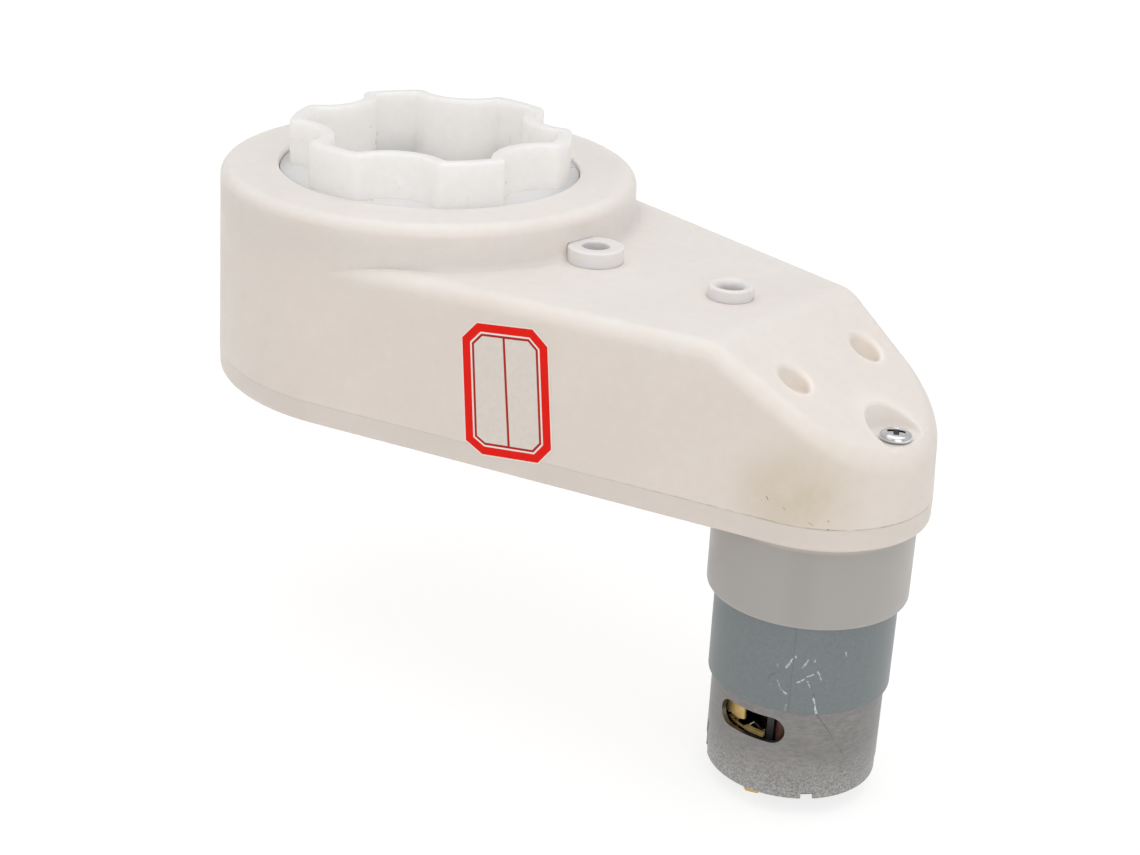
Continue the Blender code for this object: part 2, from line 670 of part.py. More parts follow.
def output_gear():
    """Output gear with its hub, thrust ring and lobed crown in one moulding."""
    root = root_radius(OUTPUT_TEETH, OUTPUT_MODULE, -OUTPUT_SHIFT)
    rim_r = root - OUTPUT_RIM
    web_top = Z_OUTPUT_TOP - WEB_RECESS
    web_low = web_top - OUTPUT_WEB
    body = lathe([(AXLE_BORE_R, SEAT), (HUB_JOURNAL_R, SEAT), (HUB_JOURNAL_R, Z_GEARS), (HUB_R, Z_GEARS),
                  (HUB_R, web_low), (rim_r + OUTPUT_RIM / 2, web_low), (rim_r + OUTPUT_RIM / 2, web_top),
                  (THRUST_R, web_top), (THRUST_R, Z_DRUM_CEILING - PLAY),
                  (THRUST_R - THRUST_WALL, Z_DRUM_CEILING - PLAY), (THRUST_R - THRUST_WALL, web_top),
                  (UPPER_HUB_R, web_top), (UPPER_HUB_R, Z_OUTPUT_TOP + UPPER_HUB_RISE),
                  (AXLE_BORE_R, Z_OUTPUT_TOP + UPPER_HUB_RISE)], OUTPUT, HULL_FACETS, GEAR_TURN)
    outline = gear_outline(OUTPUT_TEETH, OUTPUT_MODULE, -OUTPUT_SHIFT, 0.0, WHEEL_FLANK_STEPS)
    teeth = prism(outline, Z_OUTPUT, Z_OUTPUT_TOP)
    cut(teeth, cylinder(rim_r, Z_OUTPUT - PROUD, Z_OUTPUT_TOP + PROUD, facets=HULL_FACETS))
    chord = LOBE_R * math.sin(SCALLOP_HALF)
    sag = SCALLOP_DEPTH - LOBE_R * (1 - math.cos(SCALLOP_HALF))
    scallop_r = (chord ** 2 + sag ** 2) / (2 * sag)
    scallop_centre = LOBE_R - SCALLOP_DEPTH + scallop_r
    crown = prism(crown_outline(LOBE_R, scallop_r, scallop_centre), web_low + PROUD, Z_CROWN)
    inside = crown_outline(LOBE_R - CROWN_WALL, scallop_r + CROWN_WALL, scallop_centre)
    cut(crown, prism(inside, web_low, Z_CROWN + PROUD))
    join(body, teeth, crown)
    finish(body, "output_gear", CLEAR_NYLON, OUTPUT)


def idler(name, place, wheel, pinion, wheel_z, pinion_top, journal, bore_r):
    """Compound idler: a wheel, a pinion and two journals in one moulding."""
    teeth, module, shift, phase = wheel
    low, high = wheel_z
    journal_r, journal_top = journal
    rim_r = root_radius(teeth, module, -shift) - WHEEL_RIM
    middle = (low + high) / 2
    web_low = middle - WHEEL_WEB / 2
    web_top = middle + WHEEL_WEB / 2
    shoulder_r = journal_r + SHOULDER
    shoulder_low = pinion_top - SEAT
    shoulder_top = Z_CEILING - PLAY
    core_r = min(journal_r, root_radius(*pinion[:3])) - CORE_INSET
    profile = [(0, SOCKET_FLOOR + SEAT), (FOOT_JOURNAL_R, SOCKET_FLOOR + SEAT), (FOOT_JOURNAL_R, Z_GEARS),
               (WHEEL_HUB_R, Z_GEARS), (WHEEL_HUB_R, web_low), (rim_r + WHEEL_RIM / 2, web_low),
               (rim_r + WHEEL_RIM / 2, web_top), (core_r, web_top), (core_r, shoulder_low),
               (shoulder_r, shoulder_low), (shoulder_r, shoulder_top), (journal_r, shoulder_top),
               (journal_r, journal_top), (0, journal_top)]
    body = lathe(profile, place)
    ring = prism(moved(gear_outline(teeth, module, -shift, phase, WHEEL_FLANK_STEPS), place), low, high)
    cut(ring, cylinder(rim_r, low - PROUD, high + PROUD, place))
    outline = gear_outline(*pinion, PINION_FLANK_STEPS)
    small = prism(moved(outline, place), middle, pinion_top)
    join(body, ring, small)
    cut(body, cylinder(bore_r, high + PROUD, journal_top + PROUD, place, SMALL_FACETS))
    finish(body, name, CLEAR_NYLON, place)


def gear_train():
    output_gear()
    second_phase = meshed_phase(0.0, OUTPUT_TEETH, SECOND_PINION_TEETH, bearing_of(OUTPUT, SECOND))
    first_phase = meshed_phase(0.0, SECOND_WHEEL_TEETH, FIRST_PINION_TEETH, bearing_of(SECOND, FIRST))
    motor_phase = meshed_phase(0.0, FIRST_WHEEL_TEETH, MOTOR_TEETH, bearing_of(FIRST, MOTOR))
    idler("second_idler_gear", SECOND, (SECOND_WHEEL_TEETH, SECOND_MODULE, SECOND_SHIFT, 0.0),
          (SECOND_PINION_TEETH, OUTPUT_MODULE, OUTPUT_SHIFT, second_phase), (Z_SECOND, Z_SECOND_TOP),
          Z_OUTPUT_TOP + HEADROOM * PINION_SHARE, (SECOND_JOURNAL_R, Z_ARM + SECOND_JOURNAL_RISE),
          SECOND_BORE_R)
    idler("first_idler_gear", FIRST, (FIRST_WHEEL_TEETH, FIRST_MODULE, FIRST_SHIFT, 0.0),
          (FIRST_PINION_TEETH, SECOND_MODULE, SECOND_SHIFT, first_phase), (Z_GEARS, Z_FIRST_TOP),
          Z_SECOND_TOP + STAGE_GAP / 2, (FIRST_JOURNAL_R, Z_ARM + FIRST_JOURNAL_RISE), FIRST_BORE_R)
    outline = gear_outline(MOTOR_TEETH, FIRST_MODULE, FIRST_SHIFT, motor_phase, PINION_FLANK_STEPS)
    pinion = prism(moved(outline, MOTOR), Z_GEARS - PLAY, Z_FIRST_TOP + PLAY)
    cut(pinion, cylinder(SHAFT_R + PRESS, 0, Z_SECOND_TOP, MOTOR, SMALL_FACETS))
    finish(pinion, "motor_pinion", BRASS, MOTOR)


def screw(name, place, seat, tip, upward):
    """Pan-head screw with a cross recess; upward says which way its head points."""
    way = 1 if upward else -1
    top = seat + way * HEAD_H
    dome = HEAD_H * DOME_SHARE
    profile = [(0, tip), (SHANK_R * POINT_SHARE, tip), (SHANK_R, tip + way * SHANK_R), (SHANK_R, seat),
               (HEAD_R, seat), (HEAD_R, top - way * dome),
               (HEAD_R * DOME_BEND, top - way * dome * DOME_BEND_DROP), (0, top)]
    body = lathe(profile, place, SMALL_FACETS)
    reach, half = CROSS_REACH, CROSS_WIDTH / 2
    cross = []
    for quarter in range(4):
        facing = CROSS_TURN + quarter * math.pi / 2
        for x, y in ((half, -half), (reach, -half), (reach, half)):
            cross.append(polar(math.hypot(x, y), facing + math.atan2(y, x), place))
    cut(body, prism(cross, *sorted((top - way * CROSS_DEPTH, top + way * PROUD))))
    finish(body, name, ZINC)


def screws():
    screw("nose_screw", NOSE_SCREW, Z_POCKET + SEAT, Z_POCKET - WALL - SCREW_ENGAGE, True)
    for number, place in enumerate(boss_places(), 1):
        screw(f"cover_screw_{number}", place, HEAD_H - SEAT, SKIRT + SCREW_ENGAGE, False)
    for number, place in enumerate(motor_screw_places(), 1):
        screw(f"motor_screw_{number}", place, FLOOR + SEAT, Z_CAN - MOTOR_SCREW_REACH, True)


def motor_can():
    bore = BEARING_R + SEAT
    roof = Z_CAN + SPIGOT_RISE
    shoulder = rounded(CAN_R, Z_CAN, CAN_FILLET)
    can = lathe([(CAN_INNER_R, Z_CAN_END), (CAN_R, Z_CAN_END)] + shoulder
                + [(SPIGOT_R, Z_CAN), (SPIGOT_R, roof), (SHAFT_R + RUN, roof),
                   (SHAFT_R + RUN, roof - CAN_WALL), (bore, roof - CAN_WALL), (bore, Z_CAN - CAN_WALL),
                   (CAN_INNER_R, Z_CAN - CAN_WALL)], MOTOR, 2 * NOSE_FACETS, math.pi / NOSE_FACETS / 2)
    for turn in (0, math.pi):
        place = polar(CAN_R, NOTCH_ANGLE + turn, MOTOR)
        size = (2 * (CAN_WALL + PROUD), NOTCH_WIDTH, 2 * NOTCH_HEIGHT)
        cut(can, block(size, (place[0], place[1], Z_CAN_END), NOTCH_ANGLE + turn))
    for place in motor_screw_places():
        cut(can, cylinder(CLEAR_R, Z_CAN - CAN_WALL - PROUD, Z_CAN + PROUD, place, SMALL_FACETS))
    for turn in (0, math.pi):
        cut(can, vent(VENT_ANGLE + turn))
    finish(can, "motor_can", BRIGHT_STEEL)


def vent(angle):
    """Cutter for a round-ended slot that runs along the can's wall."""
    half_height = VENT_HEIGHT / 2
    straight = CAN_R * VENT_HALF - half_height
    middle = Z_CAN_END + VENT_LIFT
    steps = [straight * (1 - 2 * k / VENT_STEPS) for k in range(1, VENT_STEPS)]
    outline = arc(half_height, -math.pi / 2, math.pi / 2, VENT_STEPS, (straight, middle))
    outline += [(along, middle + half_height) for along in steps]
    outline += arc(half_height, math.pi / 2, 3 * math.pi / 2, VENT_STEPS, (-straight, middle))
    outline += [(-along, middle - half_height) for along in steps]
    rings = []
    for radius in ((CAN_R + PROUD) / math.cos(VENT_HALF), CAN_INNER_R - PROUD):
        ring = []
        for along, height in outline:
            x, y = polar(radius, angle + along / CAN_R, MOTOR)
            ring.append((x, y, height))
        rings.append(ring)
    return loft(rings)


def flux_ring():
    inner = CAN_R + SEAT
    open_half = FLUX_SPLIT / 2 / FLUX_R
    start = FLUX_SPLIT_ANGLE + open_half
    end = FLUX_SPLIT_ANGLE + TAU - open_half
    outline = arc(FLUX_R, start, end, 2 * NOSE_FACETS, MOTOR)
    outline += arc(inner, end, start, 2 * NOSE_FACETS, MOTOR)
    finish(prism(outline, Z_FLUX_END, Z_FLUX), "flux_ring", BLUED_STEEL)


def magnets():
    for number, facing in enumerate((0.0, math.pi), 1):
        start, end = facing - MAGNET_HALF, facing + MAGNET_HALF
        outline = arc(MAGNET_R, start, end, MAGNET_STEPS, MOTOR)
        outline += arc(MAGNET_INNER_R, end, start, MAGNET_STEPS, MOTOR)
        magnet = prism(outline, Z_STACK_END - MAGNET_TAIL, Z_STACK + MAGNET_LEAD)
        finish(magnet, f"magnet_{number}", FERRITE)


def bearings():
    front = Z_CAN + SPIGOT_RISE - CAN_WALL - SEAT
    rear = Z_CAP - END_BOSS_DROP + SEAT
    for name, low in (("front_bearing", front - BEARING_LENGTH), ("rear_bearing", rear)):
        bush = lathe([(SHAFT_R + BUSH_PLAY, low), (BEARING_R, low), (BEARING_R, low + BEARING_LENGTH),
                      (SHAFT_R + BUSH_PLAY, low + BEARING_LENGTH)], MOTOR, SMALL_FACETS)
        finish(bush, name, BRONZE)


def motor_end_cap():
    """Plastic end cap with its rim, bearing boss and two terminal slots."""
    outer = CAN_INNER_R - SEAT
    bore = BEARING_R + PRESS
    top = Z_CAP + END_CAP
    low = Z_CAP - END_BOSS_DROP
    cap = lathe([(SHAFT_R + RUN, low - SEAT), (END_BOSS_R, low - SEAT), (END_BOSS_R, Z_CAP), (outer, Z_CAP),
                 (outer, top + END_RIM_RISE), (outer - END_RIM, top + END_RIM_RISE), (outer - END_RIM, top),
                 (bore, top), (bore, low + SEAT / 2), (SHAFT_R + RUN, low + SEAT / 2)],
                MOTOR, 2 * NOSE_FACETS)
    for turn in (0, math.pi):
        angle = TERMINAL_ANGLE + turn
        size = (TERMINAL_WIDTH + 2 * SEAT, TERMINAL_THICK + 2 * SEAT, 2 * (END_CAP + PROUD))
        place = polar(TERMINAL_OFFSET, angle, MOTOR)
        cut(cap, block(size, (place[0], place[1], Z_CAP), angle + math.pi / 2 + TERMINAL_TURN))
    finish(cap, "motor_end_cap", BLACK_NYLON)


def brush_gear():
    """Terminals, brush arms and brushes, one of each on either side of the commutator."""
    brush_z = Z_COMMUTATOR - COMMUTATOR_LENGTH / 2
    for number, side in enumerate((-1, 1), 1):
        tab = terminal(TERMINAL_ANGLE + math.pi * (number - 1))
        finish(tab, f"terminal_{number}", BRASS)
        near = COMMUTATOR_R + SEAT
        y = side * (near + BRUSH_LENGTH / 2)
        brush = block((BRUSH_WIDTH, BRUSH_LENGTH, BRUSH_HEIGHT), (MOTOR[0], y, brush_z))
        finish(brush, f"brush_{number}", CARBON)
        arm_y = side * (near + BRUSH_LENGTH + SEAT + ARM_THICK / 2)
        foot = Z_CAP + END_CAP + SEAT
        head = brush_z + BRUSH_HEIGHT / 2
        leaf = block((BRUSH_WIDTH, ARM_THICK, head - foot), (MOTOR[0], arm_y, (head + foot) / 2))
        finish(leaf, f"brush_arm_{number}", BRASS)


def terminal(angle):
    """Flat tab through the end cap, narrowed at its tip."""
    middle = polar(TERMINAL_OFFSET, angle, MOTOR)
    along = angle + math.pi / 2 + TERMINAL_TURN
    top = Z_CAP + END_CAP + END_RIM_RISE / 2
    low = Z_CAN_END - TERMINAL_DROP
    taper = Z_CAN_END - TERMINAL_DROP / 2
    half = TERMINAL_WIDTH / 2
    tip = TERMINAL_TIP / 2
    shape = [(-tip, low), (tip, low), (half, taper), (half, top), (-half, top), (-half, taper)]
    rings = []
    for face in (-1, 1):
        y = face * TERMINAL_THICK / 2
        rings.append([(*polar(math.hypot(x, y), along + math.atan2(y, x), middle), z) for x, z in shape])
    return loft(rings)


def shaft():
    top = Z_CAN + SHAFT_RISE
    low = Z_CAP - END_BOSS_DROP + SEAT
    finish(cylinder(SHAFT_R, low, top, MOTOR, SMALL_FACETS), "motor_shaft", BRIGHT_STEEL, MOTOR)


def pole_outline():
    """Three-pole lamination: necks from a hub out to curved shoes."""
    neck = POLE_NECK / 2
    hub = neck / math.tan(math.pi / POLES) + COIL_INNER / 2
    tip_x, tip_y = SHOE_TIP
    outline = []
    for pole in range(POLES):
        facing = TAU * pole / POLES + math.pi / 2
        shape = [(hub, -neck), (SHOE_NECK, -neck), (tip_x, -tip_y)]
        shape += arc(ARMATURE_R, -POLE_HALF, POLE_HALF, SHOE_STEPS)
        shape += [(tip_x, tip_y), (SHOE_NECK, neck), (hub, neck)]
        outline += [polar(math.hypot(x, y), facing + math.atan2(y, x)) for x, y in shape]
    return outline


def coil_loop(grow, corner):
    """Round-cornered rectangle round a pole's neck, as (across, height) points."""
    half = POLE_NECK / 2 + SEAT + grow
    rise = (Z_STACK - Z_STACK_END) / 2 + SEAT + grow
    loop = []
    for quarter, (x, z) in enumerate(((1, 1), (-1, 1), (-1, -1), (1, -1))):
        start = quarter * math.pi / 2
        centre = (x * (half - corner), z * (rise - corner))
        loop += arc(corner, start, start + math.pi / 2, COIL_STEPS, centre)
    return loop


def coil(facing):
    """One winding as a solid loop that hugs its pole's neck."""
    middle = (Z_STACK + Z_STACK_END) / 2
    near, far = COIL_INNER, COIL_OUTER
    rings = []
    for reach, grow in ((near, 0.0), (far, 0.0), (far, COIL_WALL), (near, COIL_WALL)):
        ring = []
        for across, height in coil_loop(grow, SEAT + grow):
            x, y = polar(math.hypot(reach, across), facing + math.atan2(across, reach), MOTOR)
            ring.append((x, y, middle + height))
        rings.append(ring)
    return hoop(rings)


def armature():
    core = prism(moved(pole_outline(), MOTOR), Z_STACK_END, Z_STACK)
    cut(core, cylinder(SHAFT_R + PRESS, Z_STACK_END - PROUD, Z_STACK + PROUD, MOTOR, SMALL_FACETS))
    finish(core, "armature_core", BRIGHT_STEEL, MOTOR)
    for pole in range(POLES):
        facing = TAU * pole / POLES + math.pi / 2
        finish(coil(facing), f"coil_{pole + 1}", ENAMEL, MOTOR)


def commutator():
    low = Z_COMMUTATOR - COMMUTATOR_LENGTH
    drum = cylinder(COMMUTATOR_R, low, Z_COMMUTATOR, MOTOR, COMMUTATOR_FACETS)
    for bar in range(POLES):
        angle = TAU * (bar + 0.5) / POLES + math.pi / 2
        place = polar(COMMUTATOR_R, angle, MOTOR)
        size = (2 * COMMUTATOR_GAP, COMMUTATOR_SLOT, COMMUTATOR_LENGTH + 2 * PROUD)
        cut(drum, block(size, (place[0], place[1], low + COMMUTATOR_LENGTH / 2), angle))
    cut(drum, cylinder(SHAFT_R + PRESS, low - PROUD, Z_COMMUTATOR + PROUD, MOTOR, SMALL_FACETS))
    finish(drum, "commutator", COPPER, MOTOR)


def build():
    clear_scene()
    upper_housing()
    lower_cover()
    gear_train()
    screws()
    motor_can()
    flux_ring()
    magnets()
    bearings()
    motor_end_cap()
    brush_gear()
    shaft()
    armature()
    commutator()


build()
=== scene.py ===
"""Looks of the geared dc motor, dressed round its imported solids.

Lengths are millimetres, and make() turns them into metres. The origin lies on the output axis
at the underside of the cover, +Z runs up that axis and +X points at the motor's axis.
"""
from math import acos, atan2, cos, dist, hypot, pi, radians, sin, sqrt, tan

import bmesh
import bpy
from mathutils import Matrix, Vector


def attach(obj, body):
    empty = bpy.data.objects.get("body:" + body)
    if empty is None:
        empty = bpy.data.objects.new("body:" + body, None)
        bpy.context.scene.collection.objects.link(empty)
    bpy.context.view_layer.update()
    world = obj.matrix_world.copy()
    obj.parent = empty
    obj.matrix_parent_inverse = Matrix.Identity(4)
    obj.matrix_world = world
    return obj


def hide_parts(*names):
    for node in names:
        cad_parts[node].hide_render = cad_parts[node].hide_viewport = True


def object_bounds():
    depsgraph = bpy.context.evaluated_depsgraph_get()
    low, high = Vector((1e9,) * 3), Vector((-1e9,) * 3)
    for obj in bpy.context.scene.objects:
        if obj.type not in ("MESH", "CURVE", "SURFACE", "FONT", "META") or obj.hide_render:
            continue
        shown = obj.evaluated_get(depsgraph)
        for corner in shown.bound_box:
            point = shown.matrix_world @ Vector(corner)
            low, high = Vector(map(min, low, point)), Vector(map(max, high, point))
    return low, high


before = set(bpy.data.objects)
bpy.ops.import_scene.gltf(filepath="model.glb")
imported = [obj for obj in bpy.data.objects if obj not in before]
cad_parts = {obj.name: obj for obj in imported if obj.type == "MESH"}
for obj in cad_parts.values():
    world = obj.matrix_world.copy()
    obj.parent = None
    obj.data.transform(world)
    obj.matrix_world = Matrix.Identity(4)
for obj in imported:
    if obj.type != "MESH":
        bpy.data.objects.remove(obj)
cad_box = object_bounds()

MM = 0.001
TAU = 2 * pi

# Sizes of the solids, as the CAD has them
SEAT = 0.3
RUN = 0.3
PROUD = 1.0
OUTPUT = (0.0, 0.0)
SECOND = (50.5461, -2.8260)
FIRST = (83.4002, 0.2739)
MOTOR = (108.5987, 0.0)
DRUM_R = 46.892
NOSE_R = 23.0
WALL = 2.4
FLOOR = 2.5
ROOF = 2.5
DRAFT = tan(radians(1))
SKIRT = 5.0
Z_COVER_TOP = 4.85
Z_HOUSING = 5.15
SEAM = 0.02
Z_LIP = 8.0
Z_GEARS = 5.5
Z_FIRST_TOP = 12.0
Z_SECOND = 13.0
Z_SECOND_TOP = 21.0
Z_OUTPUT = 22.0
Z_OUTPUT_TOP = 33.9
Z_CEILING = 34.9
Z_ARM = 37.4
Z_DRUM_CEILING = 44.2
Z_DRUM = 46.7
Z_CROWN = 55.7
Z_CAN = -1.8
Z_CAN_END = -58.8
Z_FLUX = -4.2
Z_FLUX_END = -38.2
Z_STACK = -14.0
Z_STACK_END = -40.0
Z_CAP = -58.5
Z_COMMUTATOR = -43.6
CREASE = MOTOR[0] - 11.6
SLOPE = tan(radians(30.1))
TANGENT = acos((DRUM_R - NOSE_R) / MOTOR[0])
NOSE_SCREW = (MOTOR[0] + NOSE_R - 6.6, 0.0)
Z_POCKET = Z_ARM - SLOPE * (MOTOR[0] + NOSE_R - CREASE) + 1.9
POCKET_R = 6.3
MOTOR_SCREWS = [(MOTOR[0], -12.5), (MOTOR[0], 12.5)]
BOSS_R = 4.0
BOSS_SUNK = 1.4
HEAD_R = 3.25
HEAD_H = 1.5
SHANK_R = 1.5
SCREW_HOLE_R = 1.8
COLLAR_R = 20.7
COLLAR_INNER_R = 19.2
Z_COLLAR_END = -18.1
FLUX_R = 18.84
FLUX_SEAM = radians(-62)
CAN_R = 17.9
CAN_INNER_R = 16.9
VENT_ANGLE = -88.6
TERMINAL_R = 13.0
TERMINAL_ANGLE = -91.0
TERMINAL_TURN = 20.0
SHAFT_R = 1.585

# Gears as (teeth, module, profile shift)
OUTPUT_WHEEL = (68, 1.25, -0.25)
SECOND_WHEEL = (54, 1.0, -0.3)
FIRST_WHEEL = (53, 0.8, -0.32)
SECOND_PINION = (13, 1.25, 0.25)
FIRST_PINION = (12, 1.0, 0.3)
SECOND_TIP = 27.7
FIRST_TIP = 21.744
SECOND_JOURNAL_R = 5.9
FIRST_JOURNAL_R = 4.75
JOURNAL_GAP = 0.01
THRUST_R = 37.0
MOUTH_R = 33.5
LEDGE_R = 33.25
LOBES = 6
LOBE_R = 31.2
SCALLOP_DEPTH = 5.9
SCALLOP_HALF = radians(16)
CROWN_WALL = 3.0
CROWN_ROUND = 0.9
Z_CROWN_FOOT = 30.0


def polar(radius, angle, centre=OUTPUT):
    return (centre[0] + radius * cos(angle), centre[1] + radius * sin(angle))


def spun(x, y, angle, centre=OUTPUT):
    """A point turned about the origin and then moved to a centre."""
    return polar(hypot(x, y), angle + atan2(y, x), centre)


def arc(radius, start, end, steps, centre=OUTPUT):
    return [polar(radius, start + (end - start) * k / steps, centre) for k in range(steps + 1)]


def circle(radius, facets, centre=OUTPUT, turn=0.0):
    return arc(radius, turn, turn + TAU, facets, centre)[:-1]


def quarter(steps):
    """Angles from zero to a right angle."""
    return [pi / 2 * k / steps for k in range(steps + 1)]


def rounding(radius, steps):
    """Insets and heights along a quarter round, from its foot up to a wall."""
    return [(radius * (1 - sin(angle)), radius * (1 - cos(angle))) for angle in quarter(steps)]


def level(outline, z):
    return [(x, y, z) for x, y in outline]


def moved(outline, centre):
    return [(x + centre[0], y + centre[1]) for x, y in outline]


def new_object(name, data):
    thing = bpy.data.objects.new(name, data)
    bpy.context.scene.collection.objects.link(thing)
    return thing


def to_object(name, bm):
    mesh = bpy.data.meshes.new(name)
    bm.to_mesh(mesh)
    bm.free()
    return new_object(name, mesh)


def make(name, bm):
    """Turn a millimetre bmesh into an object in metres."""
    bm.normal_update()
    bmesh.ops.recalc_face_normals(bm, faces=bm.faces)
    bmesh.ops.scale(bm, vec=(MM, MM, MM), verts=bm.verts)
    return to_object(name, bm)


def combine(body, tools, operation):
    for tool in tools:
        step = body.modifiers.new("shape", "BOOLEAN")
        step.operation = operation
        step.solver = "EXACT"
        step.object = tool
        evaluated = body.evaluated_get(bpy.context.evaluated_depsgraph_get())
        shaped = bpy.data.meshes.new_from_object(evaluated)
        body.modifiers.clear()
        body.data = shaped
        bpy.data.objects.remove(tool, do_unlink=True)
    return body


def cut(body, *tools):
    return combine(body, tools, "DIFFERENCE")


def join(body, *tools):
    return combine(body, tools, "UNION")


def soften(corners, steps=5):
    """Closed outline whose corners (x, y, radius) are rounded."""
    points = []
    count = len(corners)
    for k in range(count):
        before = Vector(corners[k - 1][:2])
        here = Vector(corners[k][:2])
        after = Vector(corners[(k + 1) % count][:2])
        radius = corners[k][2]
        if radius == 0:
            points.append(tuple(here))
            continue
        back = before - here
        ahead = after - here
        room = 0.49 * min(back.length, ahead.length)
        back.normalize()
        ahead.normalize()
        half = acos(max(-1.0, min(1.0, back.dot(ahead)))) / 2
        reach = min(radius / tan(half), room)
        radius = reach * tan(half)
        centre = here + (back + ahead).normalized() * radius / sin(half)
        start = here + back * reach - centre
        end = here + ahead * reach - centre
        first = atan2(start.y, start.x)
        sweep = atan2(end.y, end.x) - first
        sweep = (sweep + pi) % TAU - pi
        points += arc(radius, first, first + sweep, steps, centre)
    return points


def lathe(profile, centre=OUTPUT, facets=96, turn=0.0):
    """Turn a closed profile of (radius, height) points about a vertical axis."""
    bm = bmesh.new()
    columns = []
    for radius, height in profile:
        if abs(radius) < 1e-6:
            columns.append([bm.verts.new((*centre, height))] * facets)
        else:
            ring = level(circle(radius, facets, centre, turn), height)
            columns.append([bm.verts.new(point) for point in ring])
    for here, there in zip(columns, columns[1:] + columns[:1]):
        for k in range(facets):
            after = (k + 1) % facets
            corners = []
            for vert in (here[k], here[after], there[after], there[k]):
                if vert not in corners:
                    corners.append(vert)
            if len(corners) > 2:
                bm.faces.new(corners)
    return make("lathe", bm)


def skin(rings, closed=False):
    """A new bmesh with faces between neighbouring rings of equal length, and its rows of corners."""
    bm = bmesh.new()
    rows = [[bm.verts.new(point) for point in ring] for ring in rings]
    count = len(rows[0])
    for low, high in zip(rows, rows[1:] + rows[:1] if closed else rows[1:]):
        for k in range(count):
            after = (k + 1) % count
            bm.faces.new((low[k], low[after], high[after], high[k]))
    return bm, rows


def loft(rings, ladder=False):
    """A closed solid through rings; ladder caps pair each point with its mirror image."""
    bm, rows = skin(rings)
    count = len(rows[0])
    for row in (rows[0], rows[-1]):
        if not ladder:
            bm.faces.new(row)
            continue
        for k in range((count - 1) // 2):
            corners = [row[k], row[k + 1], row[count - 2 - k], row[count - 1 - k]]
            if corners[1] is corners[2]:
                corners.pop(2)
            bm.faces.new(corners)
    return make("loft", bm)


def hoop(rings):
    """A closed band through rings, where the last ring joins the first."""
    return make("hoop", skin(rings, closed=True)[0])


def prism(outline, low, high):
    return loft([level(outline, z) for z in (low, high)])


def cylinder(radius, low, high, centre=OUTPUT, facets=48):
    return prism(circle(radius, facets, centre, pi / facets), low, high)


def posts(radius, low, high, places, facets=48):
    return [cylinder(radius, low, high, place, facets) for place in places]


def drill(radius, low, roof, lip, centre, facets=48, floor_round=0.0):
    """Cutter for a hole whose rim is rounded where it meets the roof, a function of x."""
    rows = [(radius, low)]
    if floor_round:
        rows = [(radius - inset, low + rise) for inset, rise in rounding(floor_round, 4)]
    rings = [level(circle(r, facets, centre), z) for r, z in rows]
    for angle in quarter(5):
        outline = circle(radius + lip * (1 - cos(angle)), facets, centre)
        rings.append([(x, y, roof(x) - lip + lip * sin(angle)) for x, y in outline])
    rings.append([(x, y, roof(x) + 8) for x, y in circle(radius + lip, facets, centre)])
    return loft(rings)


def under_hole(radius, lip, centre, top, facets):
    """Cutter for a hole from below, with a rounded rim at the underside."""
    profile = [(0, -PROUD), (radius + lip, -PROUD)]
    profile += [(radius + inset, rise) for inset, rise in rounding(lip, 5)]
    profile += [(radius, top), (0, top)]
    return lathe(profile, centre, facets, 0.013)


def block(size, centre, angle=0.0):
    bm = bmesh.new()
    bmesh.ops.create_cube(bm, size=1.0)
    bmesh.ops.scale(bm, vec=size, verts=bm.verts)
    for vert in bm.verts:
        x, y, z = vert.co
        vert.co = (*spun(x, y, angle, centre), centre[2] + z)
    return make("block", bm)


def sector(inner, outer, start, end, low, high):
    """A piece of a ring about the motor's axis, between two angles in degrees."""
    steps = max(3, int(abs(end - start) / 3))
    first, last = radians(start), radians(end)
    return prism(arc(outer, first, last, steps, MOTOR) + arc(inner, last, first, steps, MOTOR), low, high)


def tube(path, radius, sides=8, closed=False):
    """A round wire along a path of points."""
    bm = bmesh.new()
    rows = []
    count = len(path)
    for k in range(count):
        if closed:
            ahead = Vector(path[(k + 1) % count]) - Vector(path[k - 1])
        else:
            ahead = Vector(path[min(k + 1, count - 1)]) - Vector(path[max(k - 1, 0)])
        turn = ahead.to_track_quat("Z", "Y")
        here = Vector(path[k])
        rows.append([bm.verts.new(here + turn @ Vector((x, y, 0))) for x, y in circle(radius, sides)])
    pairs = list(zip(rows, rows[1:]))
    if closed:
        pairs.append((rows[-1], rows[0]))
    for low, high in pairs:

        def twist(shift):
            return sum((low[k].co - high[(k + shift) % sides].co).length for k in range(sides))

        shift = min(range(sides), key=twist)
        for k in range(sides):
            far = k + 1 + shift
            bm.faces.new((low[k], low[(k + 1) % sides], high[far % sides], high[(far - 1) % sides]))
    if not closed:
        bm.faces.new(rows[0])
        bm.faces.new(rows[-1])
    return make("tube", bm)


def gather(things):
    """Put several separate meshes into one object, without joining their surfaces."""
    bm = bmesh.new()
    for thing in things:
        bm.from_mesh(thing.data)
        bpy.data.objects.remove(thing, do_unlink=True)
    return to_object("gathered", bm)


def dress(thing, name, look, slot, body, *nodes, sharp=35):
    """Name a piece, shade it, and hang it on its body in place of its CAD nodes."""
    thing.name = name
    thing.data.name = name
    thing.data.materials.clear()
    thing.data.materials.append(look)
    thing.data.shade_smooth()
    thing.data.set_sharp_from_angle(angle=radians(sharp))
    even = thing.modifiers.new("even", "WEIGHTED_NORMAL")
    even.keep_sharp = True
    even.weight = 60
    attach(thing, body)
    if nodes:
        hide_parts(*nodes)
    return thing


# Node helpers

def plug(tree, node, inputs):
    """Link or set a node's inputs."""
    for key, value in inputs.items():
        if isinstance(value, bpy.types.NodeSocket):
            tree.links.new(value, node.inputs[key])
        else:
            node.inputs[key].default_value = value


